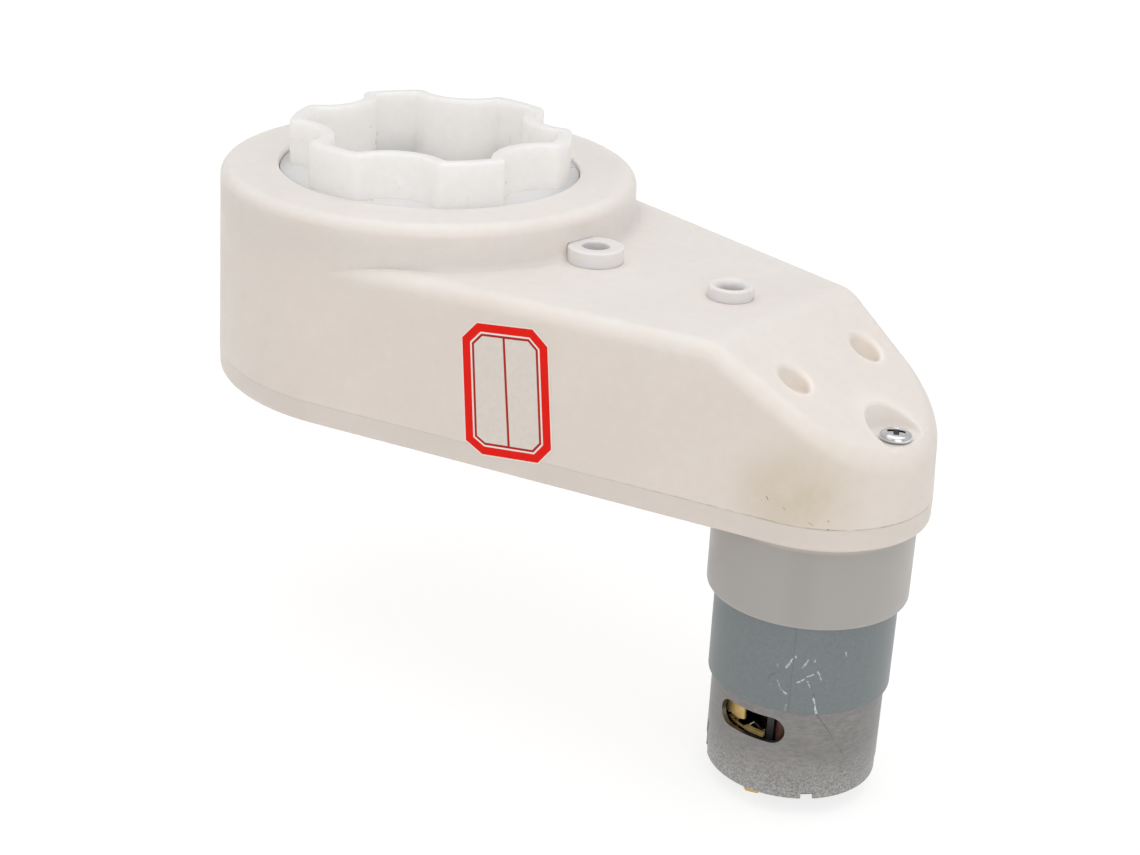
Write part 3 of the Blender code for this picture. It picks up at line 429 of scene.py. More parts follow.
def add(tree, kind, inputs=None, **settings):
    node = tree.nodes.new("ShaderNode" + kind)
    for key, value in settings.items():
        setattr(node, key, value)
    plug(tree, node, inputs or {})
    return node


def noise(tree, vector, scale, detail=3.0, roughness=0.55):
    values = {"Vector": vector, "Scale": scale, "Detail": detail, "Roughness": roughness}
    return add(tree, "TexNoise", values).outputs[0]


def stretch(tree, vector, scale):
    return add(tree, "Mapping", {"Vector": vector, "Scale": scale}).outputs[0]


def axes(tree, vector):
    return add(tree, "SeparateXYZ", {0: vector}).outputs


def remap(tree, value, low, high, new_low=0.0, new_high=1.0):
    return add(tree, "MapRange", {0: value, 1: low, 2: high, 3: new_low, 4: new_high}).outputs[0]


def calc(tree, operation, first, second=0.0):
    return add(tree, "Math", {0: first, 1: second}, operation=operation).outputs[0]


def shift(tree, operation, first, second):
    """A vector from two vectors, or from a vector and a factor."""
    other = "Scale" if operation == "SCALE" else 1
    return add(tree, "VectorMath", {0: first, other: second}, operation=operation).outputs["Vector"]


def measure(tree, operation, first, second):
    """A number from two vectors."""
    return add(tree, "VectorMath", {0: first, 1: second}, operation=operation).outputs["Value"]


def blend(tree, share, first, second):
    return add(tree, "Mix", {0: share, 6: first, 7: second}, data_type="RGBA").outputs[2]


def bump(tree, height, distance, strength, normal=None):
    values = {"Height": height, "Distance": distance * MM, "Strength": strength}
    if normal is not None:
        values["Normal"] = normal
    return add(tree, "Bump", values).outputs[0]


def bevel(tree, radius):
    return add(tree, "Bevel", {"Radius": radius * MM}, samples=4).outputs[0]


def largest(tree, masks):
    total = masks[0]
    for mask in masks[1:]:
        total = calc(tree, "MAXIMUM", total, mask)
    return total


def spots(tree, vector, places, soft):
    """One mask from round spots (centre in mm, radius in mm, strength)."""
    masks = []
    for centre, radius, strength in places:
        away = measure(tree, "DISTANCE", vector, [c * MM for c in centre])
        masks.append(remap(tree, away, radius * MM * (1 - soft), radius * MM, strength, 0.0))
    return largest(tree, masks)


def strokes(tree, vector, lines, width):
    """One mask from short straight scratches (start and end in mm, strength)."""
    masks = []
    for line in lines:
        start, end, strength = line[:3], line[3:6], line[6]
        along = (Vector(end) - Vector(start)) * MM
        off = shift(tree, "SUBTRACT", vector, [c * MM for c in start])
        share = remap(tree, measure(tree, "DOT_PRODUCT", off, along / along.length_squared), 0.0, 1.0)
        away = measure(tree, "DISTANCE", off, shift(tree, "SCALE", along, share))
        masks.append(remap(tree, away, width * MM * 0.3, width * MM, strength, 0.0))
    return largest(tree, masks)


def wander(tree, coords, scale, reach):
    """Coordinates shaken by noise, for marks that don't run straight."""
    shake = add(tree, "TexNoise", {"Vector": coords, "Scale": scale, "Detail": 2.0}).outputs["Color"]
    shake = shift(tree, "SUBTRACT", shake, (0.5, 0.5, 0.5))
    return shift(tree, "ADD", coords, shift(tree, "SCALE", shake, reach * MM))


def ragged(tree, coords, mask, low, high):
    gaps = remap(tree, noise(tree, coords, 1500.0, 3.0, 0.7), low, high)
    return calc(tree, "MULTIPLY", mask, gaps)


def start_look(name):
    look = bpy.data.materials.new(name)
    look.use_nodes = True
    tree = look.node_tree
    shader = tree.nodes["Principled BSDF"]
    coords = add(tree, "TexCoord").outputs["Object"]
    return look, tree, shader, coords


# Housing

def hull_outline(inset, drum_steps=132, nose_steps=60):
    drum = arc(DRUM_R - inset, TANGENT, TAU - TANGENT, drum_steps)
    return drum + arc(NOSE_R - inset, -TANGENT, TANGENT, nose_steps, MOTOR)


def arm_outline(inset, steps, nose_steps, tuck=0.012):
    """Plan of the arm from its tangent points on the drum round the nose, even about the x axis."""
    root = polar(DRUM_R - inset - tuck, -TANGENT)
    end = polar(NOSE_R - inset, -TANGENT, MOTOR)
    side = []
    for k in range(steps):
        share = k / steps
        side.append((root[0] + (end[0] - root[0]) * share, root[1] + (end[1] - root[1]) * share))
    nose = arc(NOSE_R - inset, -TANGENT, TANGENT, nose_steps, MOTOR)
    return side + nose + [(x, -y) for x, y in reversed(side)]


def roof(x, top=Z_ARM, crease=CREASE, ease=2.2):
    """Height of the arm's roof: flat, then a ramp, with an eased crease between them."""
    past = x - crease
    if past <= -ease:
        return top
    if past >= ease:
        return top - SLOPE * past
    return top - SLOPE * (past + ease) ** 2 / (4 * ease)


def arm_solid(rows, top, crease, ease, steps, nose_steps):
    """The arm through rows of (inset, depth below the roof, fixed height or None)."""
    rings = []
    for inset, depth, height in rows:
        outline = arm_outline(inset, steps, nose_steps)
        if height is not None:
            rings.append(level(outline, height))
        else:
            rings.append([(x, y, roof(x, top, crease, ease) - depth) for x, y in outline])
    return loft(rings, ladder=True)


def pocket(grow, low, lip, fillet=1.3):
    """The screw pocket, a round-ended trough that runs out over the nose, with a rounded rim and floor."""
    far = MOTOR[0] + NOSE_R + 4

    def outline(spread):
        radius = POCKET_R + grow + spread
        return arc(radius, pi / 2, 3 * pi / 2, 28, NOSE_SCREW) + [(far, -radius), (far, radius)]

    if not lip:
        return prism(outline(0), low, Z_ARM)
    rings = [level(outline(-inset), low + rise) for inset, rise in rounding(fillet, 5)]
    for k, angle in enumerate(quarter(5), 1):
        rise = lip * sin(angle) + 0.01 * k
        rim = outline(lip * (1 - cos(angle)))
        rings.append([(x, y, max(roof(x) - lip, low + fillet) + rise) for x, y in rim])
    rings.append(level(outline(lip), Z_ARM))
    return loft(rings)


def boss_places():
    """Screw bosses round the drum, and beside the arm's walls where both idler wheels leave room."""
    reach = DRUM_R - WALL - BOSS_R + BOSS_SUNK
    places = [polar(reach, radians(angle)) for angle in (100, 180, 260)]
    for side in (-1, 1):
        low, high = SECOND[0], FIRST[0]
        for _ in range(40):
            x = (low + high) / 2
            y = side * (reach - x * cos(TANGENT)) / sin(TANGENT)
            if dist((x, y), SECOND) - SECOND_TIP < dist((x, y), FIRST) - FIRST_TIP:
                low = x
            else:
                high = x
        places.append((x, y))
    return places


def housing_cavity():
    low = Z_HOUSING - PROUD
    wall = DRUM_R - WALL
    taper = DRAFT * (Z_DRUM_CEILING - SKIRT)
    profile = [(0, low), (wall, low), (wall - taper, Z_DRUM_CEILING), (0, Z_DRUM_CEILING)]
    space = lathe(profile, facets=96, turn=pi / 96)
    slant = WALL * sqrt(1 + SLOPE ** 2)
    inner = CREASE + (ROOF - slant) / SLOPE
    shrink = DRAFT * (Z_CEILING - SKIRT)
    join(space, arm_solid([(WALL, 0, low), (WALL + shrink, 0, None)], Z_CEILING, inner, 0.5, 40, 24))
    rib = THRUST_R + RUN
    foot = Z_DRUM_CEILING - 5
    cut(space, lathe([(rib, foot), (rib, Z_DRUM), (rib + 2, Z_DRUM), (rib + 2, foot)]))
    cut(space, cylinder(8.9, Z_CEILING, Z_DRUM, SECOND))
    cut(space, *posts(BOSS_R, low - PROUD, Z_OUTPUT - 1.0, boss_places(), 24))
    cut(space, *[cylinder(5.65, roof(place[0]) - 6.4, Z_ARM, place, 24) for place in MOTOR_SCREWS])
    return cut(space, pocket(WALL, Z_POCKET - WALL, 0))


def cove():
    """Small fillet where the drum's wall rises from the arm's roof."""
    rings = []
    steps = 72
    reach = radians(56)
    fade = radians(14)
    wall = DRUM_R - DRAFT * (Z_ARM - SKIRT)
    for k in range(steps + 1):
        angle = -reach + 2 * reach * k / steps
        share = min(1.0, (reach - abs(angle)) / fade)
        size = 0.06 + 1.5 * share * share * (3 - 2 * share)
        profile = [(wall - 1.0, Z_ARM - 1.0), (wall - 1.0, Z_ARM + size)]
        profile += [(wall - 0.03 + out, Z_ARM - 0.03 + up) for up, out in rounding(size, 6)]
        profile.append((wall + size, Z_ARM - 1.0))
        rings.append([(*polar(r, angle), z) for r, z in profile])
    return loft(rings)


def housing_shell():
    top = DRAFT * (Z_DRUM - SKIRT)
    foot = Z_COVER_TOP + SEAM
    drum = soften([(0, foot, 0), (DRUM_R, foot, 0.05), (DRUM_R - top, Z_DRUM, 2.6), (0, Z_DRUM, 0)], 8)
    shell = lathe(drum, facets=192)
    edge = 3.5
    rows = [(0.05, 0, foot), (0.015, 0, foot + 0.015), (0.002, 0, foot + 0.05)]
    rows += [(DRAFT * (Z_ARM - edge - SKIRT) + inset, drop, None) for drop, inset in rounding(edge, 8)]
    join(shell, arm_solid(rows, Z_ARM, CREASE, 2.2, 84, 64), cove())
    cut(shell, housing_cavity())
    cut(shell, drill(MOUTH_R, Z_DRUM_CEILING - 2, lambda x: Z_DRUM, 0.7, OUTPUT, 160))
    cut(shell, cylinder(SECOND_JOURNAL_R + JOURNAL_GAP, Z_CEILING - 2, Z_ARM + 3.45, SECOND, 72))
    cut(shell, cylinder(FIRST_JOURNAL_R + JOURNAL_GAP, Z_CEILING - 2, Z_ARM + PROUD, FIRST, 64))
    cut(shell, *[drill(3.05, roof(place[0]) - 4.0, roof, 1.1, place, 48, 1.2) for place in MOTOR_SCREWS])
    cut(shell, pocket(0, Z_POCKET, 0.8))
    cut(shell, cylinder(SCREW_HOLE_R, Z_POCKET - WALL - PROUD, Z_POCKET + PROUD, NOSE_SCREW, 32))
    return cut(shell, *posts(SCREW_HOLE_R, 0, SKIRT + 10, boss_places(), 24))


# Cover

def cover_shell():
    edge = rounding(0.9, 5) + [(0.0, Z_COVER_TOP - 0.05), (0.015, Z_COVER_TOP - 0.015), (0.05, Z_COVER_TOP)]
    plate = loft([level(hull_outline(inset), z) for inset, z in edge])
    join(plate, prism(hull_outline(WALL + SEAT, 96, 48), FLOOR / 2, Z_LIP))
    root = COLLAR_R + 0.25
    collar = soften([(0, FLOOR / 2, 0), (root, FLOOR / 2, 0), (root, -0.05, 0.0), (COLLAR_R, -0.3, 0),
                     (COLLAR_R, Z_COLLAR_END, 0.45), (COLLAR_INNER_R, Z_COLLAR_END, 0.3),
                     (COLLAR_INNER_R, -1.5, 0), (0, -1.5, 0)], 4)
    join(plate, lathe(collar, MOTOR, 120, 0.01))
    bosses = boss_places()
    space = prism(hull_outline(WALL + SEAT + 1.2, 96, 48), FLOOR, Z_LIP + PROUD)
    cut(space, cylinder(13.5, 0, 5.2, OUTPUT, 64))
    cut(space, *posts(7.5, 0, 5.2, (SECOND, FIRST), 48))
    cut(space, *posts(5.2, 0, Z_COVER_TOP, bosses, 24))
    cut(plate, space)
    join(plate, cylinder(3.4, FLOOR / 2, Z_POCKET - WALL - SEAT, NOSE_SCREW, 32))
    cut(plate, under_hole(11.3, 0.5, OUTPUT, Z_GEARS + PROUD, 96))
    cut(plate, *posts(5.3, 1.0, Z_GEARS + PROUD, (SECOND, FIRST), 48))
    cut(plate, cylinder(6.8, -2.5, FLOOR + PROUD, MOTOR, 48))
    cut(plate, *posts(SCREW_HOLE_R, -2.5, FLOOR + PROUD, MOTOR_SCREWS, 24))
    for place in bosses:
        cut(plate, cylinder(4.3, Z_COVER_TOP - SEAT, Z_LIP + PROUD, place, 32))
        cut(plate, cylinder(SCREW_HOLE_R, -PROUD, SKIRT, place, 24))
        cut(plate, under_hole(3.55, 0.3, place, HEAD_H, 48))
    return cut(plate, cylinder(SCREW_HOLE_R, FLOOR, Z_POCKET, NOSE_SCREW, 24))


# Gears

def root_radius(teeth, module, shift):
    return (teeth / 2 - 1.25 + shift) * module


def gear_outline(gear, phase, steps):
    teeth, module, shift = gear
    pressure = radians(20)
    pitch = teeth * module / 2
    base = pitch * cos(pressure)
    root = root_radius(*gear)
    tip = (teeth / 2 + 1 + shift) * module
    thickness = module * (pi / 2 + 2 * shift * tan(pressure)) - 0.12
    at_base = thickness / (2 * pitch) + tan(pressure) - pressure
    foot = max(base, root)
    flank = [(root, at_base)] if root < base else []
    for k in range(steps + 1):
        radius = foot + (tip - foot) * k / steps
        lean = acos(base / radius)
        flank.append((radius, at_base - (tan(lean) - lean)))
    outline = []
    for tooth in range(teeth):
        middle = phase + TAU * tooth / teeth
        outline += [polar(radius, middle - half) for radius, half in flank]
        outline += [polar(radius, middle + half) for radius, half in reversed(flank)]
    return outline


def meshed_phase(wheel, pinion, direction):
    """Phase of a pinion that meshes with a wheel whose first tooth points along +X."""
    return direction + pi + pi / pinion[0] + direction * wheel[0] / pinion[0]


def crown_outline(inward, corner):
    """Round lobes parted by concave scallops, offset inwards, with rounded corners between them."""
    chord = LOBE_R * sin(SCALLOP_HALF)
    sag = SCALLOP_DEPTH - LOBE_R * (1 - cos(SCALLOP_HALF))
    scallop_r = (chord ** 2 + sag ** 2) / (2 * sag)
    reach = LOBE_R - SCALLOP_DEPTH + scallop_r
    lobe_r = LOBE_R - inward
    scallop_r += inward
    near = lobe_r - corner
    far = scallop_r + corner
    along = (near ** 2 - far ** 2 + reach ** 2) / (2 * reach)
    across = sqrt(near ** 2 - along ** 2)
    edge = atan2(across, along)
    sweep = atan2(across, reach - along)
    pattern = arc(corner, -edge, sweep, 6, (along, -across))[:-1]
    pattern += arc(scallop_r, pi + sweep, pi - sweep, 18, (reach, 0.0))
    pattern += arc(corner, -sweep, edge, 6, (along, across))[1:]
    outline = []
    for lobe in range(LOBES):
        middle = TAU * lobe / LOBES
        outline += [spun(x, y, middle) for x, y in pattern]
        outline += arc(lobe_r, middle + edge, middle + TAU / LOBES - edge, 14)[1:-1]
    return outline


def crown():
    """The crown's wall as one band with rounded top edges."""
    rows = [(0.0, Z_CROWN_FOOT, 1.8)]
    edge = rounding(CROWN_ROUND, 6)
    rows += [(inward, Z_CROWN - drop, 1.8 - 0.12 * k) for k, (drop, inward) in enumerate(edge)]
    rows += [(CROWN_WALL - back, Z_CROWN - drop, 1.0) for back, drop in edge]
    rows.append((CROWN_WALL, Z_CROWN_FOOT, 1.0))
    return hoop([level(crown_outline(inward, corner), z) for inward, z, corner in rows])


def output_shell():
    web_top = Z_OUTPUT_TOP - 0.4
    web_low = web_top - 5.5
    rim = root_radius(*OUTPUT_WHEEL) - 4.0
    section = soften([
        (6.1, SEAT, 0.4), (11.0, SEAT, 0.4), (11.0, Z_GEARS, 0), (14.0, Z_GEARS, 0.4), (14.0, web_low, 1.0),
        (rim + 2, web_low, 0), (rim + 2, web_top, 0), (THRUST_R, web_top, 0), (THRUST_R, 43.9, 0.4),
        (34.6, 43.9, 0.4), (34.6, web_top, 0), (9.5, web_top, 1.0), (9.5, 39.9, 0.6), (6.1, 39.9, 0.5)], 4)
    body = lathe(section, OUTPUT, 128, radians(1.1))
    teeth = prism(gear_outline(OUTPUT_WHEEL, 0.0, 3), Z_OUTPUT, Z_OUTPUT_TOP)
    cut(teeth, cylinder(rim, Z_OUTPUT - PROUD, Z_OUTPUT_TOP + PROUD, facets=90))
    section = soften([(20.0, 40.4, 0), (LEDGE_R, 40.4, 0.3), (LEDGE_R, 45.8, 0.4), (20.0, 45.8, 0)], 3)
    ledge = lathe(section, OUTPUT, 144, radians(2.3))
    cut(ledge, prism(crown_outline(1.5, 1.4), 39.0, 47.0))
    return join(body, teeth, crown(), ledge)


def idler_shell(place, wheel, pinion, phase, wheel_z, pinion_top, journal_r, journal_top, bore_r, lip):
    low, high = wheel_z
    rim = root_radius(*wheel) - 2.6
    middle = (low + high) / 2
    core = min(journal_r, root_radius(*pinion)) - 0.4
    shoulder = journal_r + 1.2
    foot = pinion_top - SEAT
    roof_low = Z_CEILING - 0.3
    section = soften([
        (0, 1.3, 0), (5.0, 1.3, 0.4), (5.0, Z_GEARS, 0), (8.0, Z_GEARS, 0.3), (8.0, middle - 1.8, 0.6),
        (rim + 1.3, middle - 1.8, 0), (rim + 1.3, middle + 1.8, 0), (core, middle + 1.8, 0), (core, foot, 0),
        (shoulder, foot, 0), (shoulder, roof_low, 0), (journal_r, roof_low, 0),
        (journal_r, journal_top, 0.45), (0, journal_top, 0)], 4)
    body = lathe(section, place, 72)
    ring = prism(moved(gear_outline(wheel, 0.0, 2), place), low, high)
    cut(ring, cylinder(rim, low - PROUD, high + PROUD, place, 70))
    small = prism(moved(gear_outline(pinion, phase, 4), place), middle, pinion_top)
    join(body, ring, small)
    return cut(body, drill(bore_r, high + PROUD, lambda x: journal_top, lip, place, 48))


def gear_pieces(look, cool):
    dress(output_shell(), "crown_gear", look, "gear_nylon", "output", "output_gear")
    phase = meshed_phase(OUTPUT_WHEEL, SECOND_PINION, atan2(SECOND[1], SECOND[0]))
    piece = idler_shell(SECOND, SECOND_WHEEL, SECOND_PINION, phase, (Z_SECOND, Z_SECOND_TOP),
                        34.23, SECOND_JOURNAL_R, Z_ARM + 3.4, 2.9, 0.5)
    dress(piece, "second_idler", cool, "gear_nylon", "second_idler", "second_idler_gear")
    phase = meshed_phase(SECOND_WHEEL, FIRST_PINION, atan2(FIRST[1] - SECOND[1], FIRST[0] - SECOND[0]))
    piece = idler_shell(FIRST, FIRST_WHEEL, FIRST_PINION, phase, (Z_GEARS, Z_FIRST_TOP),
                        21.5, FIRST_JOURNAL_R, Z_ARM + 2.65, 2.6, 1.5)
    dress(piece, "first_idler", cool, "gear_nylon", "first_idler", "first_idler_gear")


# Screws

def screw_body(place, seat, tip, upward, turn):
    """Pan-head screw with a tapered cross recess and a rolled thread."""
    way = 1 if upward else -1
    top = seat + way * HEAD_H
    z = tip + way * 1.6
    profile = [(0, tip), (0.5, tip), (SHANK_R - 0.25, z)]
    while (seat - z) * way > 1.0:
        profile += [(SHANK_R, z + way * 0.3), (SHANK_R - 0.28, z + way * 0.6)]
        z += way * 0.6
    profile += [(SHANK_R - 0.1, seat), (HEAD_R - 0.2, seat), (HEAD_R - 0.05, seat + way * 0.12),
                (HEAD_R, seat + way * 0.35)]
    for angle in quarter(8)[1:]:
        radius = HEAD_R * (0.62 + 0.38 * cos(angle))
        profile.append((radius, seat + way * (0.35 + 0.95 * sin(angle))))
    profile += [(HEAD_R * 0.35, top - way * 0.05), (0, top)]
    body = lathe(profile, place, 40)
    rings = []
    for share, z in ((0.5, top - way * 1.7), (1.06, top + way * 0.2)):
        reach, half = 1.9 * share, 0.30 + 0.26 * share
        ring = []
        for side in range(4):
            for x, y in ((half, -half), (reach, -half), (reach, half)):
                ring.append((*spun(x, y, turn + side * pi / 2, place), z))
        rings.append(ring)
    return cut(body, loft(rings))


def screw_pieces(look, nose_look):
    piece = screw_body(NOSE_SCREW, Z_POCKET + SEAT, Z_POCKET - WALL - 9, True, radians(30))
    dress(piece, "nose_screw_head", nose_look, "screw_zinc", "gearbox", "nose_screw")
    for number, place in enumerate(boss_places(), 1):
        piece = screw_body(place, HEAD_H - SEAT, SKIRT + 9, False, radians(17 + 29 * number))
        dress(piece, f"cover_screw_head_{number}", look, "screw_zinc", "gearbox", f"cover_screw_{number}")


# Motor

def can_shell():
    bore = 4.3
    neck = SHAFT_R + RUN
    top = Z_CAN + 3.5
    step = Z_CAN_END + 3.3
    section = soften([
        (CAN_INNER_R, Z_CAN_END, 0.15), (CAN_R - 0.14, Z_CAN_END, 0.3), (CAN_R - 0.14, step - 0.3, 0.1),
        (CAN_R, step + 0.2, 0.15), (CAN_R, Z_CAN, 1.6), (6.5, Z_CAN, 0.3), (6.5, top, 0.4), (neck, top, 0),
        (neck, top - 1, 0), (bore, top - 1, 0), (bore, Z_CAN - 1, 0), (CAN_INNER_R, Z_CAN - 1, 0.6)], 5)
    can = lathe(section, MOTOR, 144, 0.01)
    for turn in (0, pi):
        for angle, out, size in ((-44.3, 0.0, (4, 2.6, 2.8)), (-141, 1.55, (4, 3.4, 15.0))):
            facing = radians(angle) + turn
            cut(can, block(size, (*polar(CAN_R + out, facing, MOTOR), Z_CAN_END), facing))
    cut(can, *posts(SCREW_HOLE_R, Z_CAN - 2, Z_CAN + PROUD, MOTOR_SCREWS, 24))
    return cut(can, *[vent(radians(VENT_ANGLE) + turn) for turn in (0, pi)])


def vent(angle):
    half = 2.9
    straight = CAN_R * radians(25.5) - half
    middle = Z_CAN_END + 15.3
    steps = [straight * (1 - k / 8) for k in range(1, 16)]
    outline = arc(half, -pi / 2, pi / 2, 14, (straight, middle))
    outline += [(along, middle + half) for along in steps]
    outline += arc(half, pi / 2, 3 * pi / 2, 14, (-straight, middle))
    outline += [(-along, middle - half) for along in steps]
    rings = []
    for radius in (CAN_R + 3.5, CAN_INNER_R - PROUD):
        rings.append([(*polar(radius, angle + along / CAN_R, MOTOR), z) for along, z in outline])
    return loft(rings)


def flux_band():
    """Rolled ring round the can with a thin seam and rounded edges."""
    inner = CAN_R + SEAT
    gap = 0.014 / FLUX_R
    start = FLUX_SEAM + gap
    end = FLUX_SEAM + TAU - gap
    section = soften([(inner, Z_FLUX_END, 0.1), (FLUX_R, Z_FLUX_END, 0.25), (FLUX_R, Z_FLUX, 0.25),
                      (inner, Z_FLUX, 0.1)], 3)
    rings = []
    steps = 140
    for k in range(steps + 1):
        angle = start + (end - start) * k / steps
        rings.append([(*polar(r, angle, MOTOR), z) for r, z in section])
    return loft(rings)


def end_cap():
    outer = CAN_INNER_R - SEAT
    neck = SHAFT_R + RUN
    top = Z_CAP + 3
    low = Z_CAP - 1.5
    section = soften([
        (neck, low - SEAT, 0.3), (6.0, low - SEAT, 0.4), (6.0, Z_CAP, 0.5), (outer, Z_CAP, 0.4),
        (outer, top + 4, 0.3), (outer - 1.6, top + 4, 0.3), (outer - 1.6, top, 0.4), (4.06, top, 0),
        (4.06, low + 0.15, 0), (neck, low + 0.15, 0)], 4)
    cap = lathe(section, MOTOR, 120)
    for angle in (TERMINAL_ANGLE, TERMINAL_ANGLE + 180):
        place = polar(TERMINAL_R, radians(angle), MOTOR)
        cut(cap, block((5.4, 1.2, 8.0), (*place, Z_CAP), radians(angle + 90 + TERMINAL_TURN)))
    for angle in (35, 145, 215, 325):
        place = polar(10.6, radians(angle), MOTOR)
        cut(cap, cylinder(1.5, Z_CAP - PROUD, Z_CAP + 0.8, place, 32))
    for turn in (VENT_ANGLE, VENT_ANGLE + 180):
        join(cap, sector(12.6, 14.4, turn + 9, turn + 15, top - 0.5, -42.6))
    for angle in (0, 180):
        rib = polar(10.4, radians(angle), MOTOR)
        join(cap, block((7.0, 1.4, 0.9), (*rib, Z_CAP - 0.25)))
    return cap


def terminal_tab(angle):
    """Flat tab with a narrowed tip and a lead hole."""
    top = Z_CAP + 5
    low = Z_CAN_END - 3.7
    middle = polar(TERMINAL_R, radians(angle), MOTOR)
    along = radians(angle + 90 + TERMINAL_TURN)
    rings = []
    for y, inset in ((-0.3, 0.08), (-0.22, 0.0), (0.22, 0.0), (0.3, 0.08)):
        tip, wide = 1.35 - inset, 2.4 - inset
        base, crest = low + inset, top - inset
        shape = soften([(-tip, base, 0.5), (tip, base, 0.5), (wide, low + 1.85, 0.4), (wide, crest, 0.2),
                        (-wide, crest, 0.2), (-wide, low + 1.85, 0.4)], 4)
        rings.append([(*spun(x, y, along, middle), z) for x, z in shape])
    hole = circle(0.7, 24, (0.0, low + 1.9))
    return cut(loft(rings), loft([[(*spun(x, y, along, middle), z) for x, z in hole] for y in (-1, 1)]))


def brush_leaf(side):
    """Spring leaf behind a brush, with a slot in its foot."""
    middle = side * 9.25
    head, foot = -45.42, -55.2

    def plate(half, low, high, foot_round, head_round, thick):
        outline = soften([(-half, low, foot_round), (half, low, foot_round), (half, high, head_round),
                          (-half, high, head_round)], 3)
        return loft([[(MOTOR[0] + x, middle + away, z) for x, z in outline] for away in (-thick, thick)])

    return cut(plate(1.8, foot, head, 0.2, 0.5, 0.25), plate(0.5, foot + 2, foot + 4.5, 0.45, 0.45, 1))


def winding(facing):
    """A coil as rows of round wire laid about its pole's neck."""
    wire = 0.26
    inner = 4.6 + wire
    middle = (Z_STACK + Z_STACK_END) / 2
    turns = []
    for layer in range(5):
        grow = wire + 0.02 + layer * 0.56
        half = 2.2 + SEAT + grow
        rise = (Z_STACK - Z_STACK_END) / 2 + SEAT + grow
        corner = min(half, 0.4 + grow)
        loop = soften([(half, rise, corner), (-half, rise, corner), (-half, -rise, corner),
                       (half, -rise, corner)], 5)
        full = layer in (0, 4)
        for reach in [inner + row * 0.5 for row in range(5)] if full else (inner, inner + 2.0):
            path = [(*spun(reach, across, facing, MOTOR), middle + up) for across, up in loop]
            turns.append(tube(path, wire, 6, closed=True))
    return gather(turns)


def commutator_bars():
    low = Z_COMMUTATOR - 8
    seat = SHAFT_R + 0.06
    section = soften([(seat, low, 0), (5.0, low, 0.3), (5.0, Z_COMMUTATOR, 0.2), (seat, Z_COMMUTATOR, 0)], 3)
    drum = lathe(section, MOTOR, 60)
    for bar in range(3):
        angle = TAU * (bar + 0.5) / 3 + pi / 2
        cut(drum, block((1.6, 0.6, 12), (*polar(5.0, angle, MOTOR), low + 4), angle))
    return drum


def brush_bracket(turn):
    """Brass bracket that carries a brush's spring leaf, folded out of one strip."""
    plate = sector(13.5, 13.95, turn - 36, turn - 25, Z_CAP + 3 + SEAT, -38.6)
    for inner, outer, start, end, low, high in (
            (13.6, 15.75, -31, -27.5, -45.6, -38.6), (15.3, 15.75, -28, -9, -45.2, -38.6),
            (13.6, 15.1, -31, -27, -47.3, -46.8), (14.7, 15.1, -28, -9, -47.3, -46.95),
            (14.4, 15.3, -9.5, 8, -47.3, -46.4)):
        join(plate, sector(inner, outer, turn + start, turn + end, low, high))
    corner = polar(15.5, radians(turn - 9), MOTOR)
    wedge = prism([(-3.4, -0.4), (0.6, -0.4), (0.6, 0.9)], -1.0, 1.0)
    facing = Matrix.Rotation(radians(turn - 9 + 90), 4, "Z") @ Matrix.Rotation(pi / 2, 4, "X")
    wedge.matrix_world = Matrix.Translation(Vector((*corner, -45.4)) * MM) @ facing
    return cut(plate, wedge)


def lead_wire(turn):
    """Tinned lead from the bracket to the spring leaf, in two short loops."""
    points = []
    for angle, radius, z in (
            (-9, 14.3, -47.0), (-7, 14.2, -46.2), (-5, 13.8, -45.6), (-3, 13.2, -46.4), (0, 12.6, -47.6),
            (3, 13.2, -47.2), (6, 13.9, -46.3), (8, 13.5, -46.4), (9, 12.4, -47.6), (7, 11.2, -49.0),
            (4, 10.4, -50.5)):
        points.append((*polar(radius, radians(turn + angle), MOTOR), z))
    return tube(points, 0.24, 8)


def choke(turn):
    """Small choke beside the brush, close-wound with fine wire."""
    foot, pitch, coils = -53.5, 0.3, 48
    profile = [(0, foot)]
    for k in range(coils):
        z = foot + k * pitch
        profile += [(1.95, z), (2.05, z + pitch / 2)]
    profile.append((0, foot + coils * pitch))
    return lathe(profile, polar(13.0, radians(turn + 24), MOTOR), 32)


def motor_pieces(looks):
    for number, turn in enumerate((VENT_ANGLE, VENT_ANGLE + 180), 1):
        dress(brush_bracket(turn), f"brush_bracket_{number}", looks["bracket"], "brass", "gearbox")
        dress(lead_wire(turn), f"lead_wire_{number}", looks["steel"], "steel", "gearbox")
        dress(choke(turn), f"choke_{number}", looks["coat"], "enamelled_wire", "gearbox", sharp=80)
    dress(can_shell(), "can_shell", looks["can"], "can_steel", "gearbox", "motor_can")
    dress(flux_band(), "flux_band", looks["flux"], "flux_steel", "gearbox", "flux_ring")
    dress(end_cap(), "end_cap", looks["black"], "black_nylon", "gearbox", "motor_end_cap")
    brass, wire = looks["brass"], looks["wire"]
    for number, side in enumerate((-1, 1), 1):
        tab = terminal_tab(TERMINAL_ANGLE + 180 * (number - 1))
        dress(tab, f"terminal_tab_{number}", brass, "brass", "gearbox", f"terminal_{number}")
        dress(brush_leaf(side), f"brush_leaf_{number}", brass, "brass", "gearbox", f"brush_arm_{number}")
    for number in (1, 2, 3):
        coil = winding(TAU * (number - 1) / 3 + pi / 2)
        dress(coil, f"winding_{number}", wire, "enamelled_wire", "rotor", f"coil_{number}", sharp=80)
    dress(commutator_bars(), "commutator_bars", looks["copper"], "copper", "rotor", "commutator")


# Label

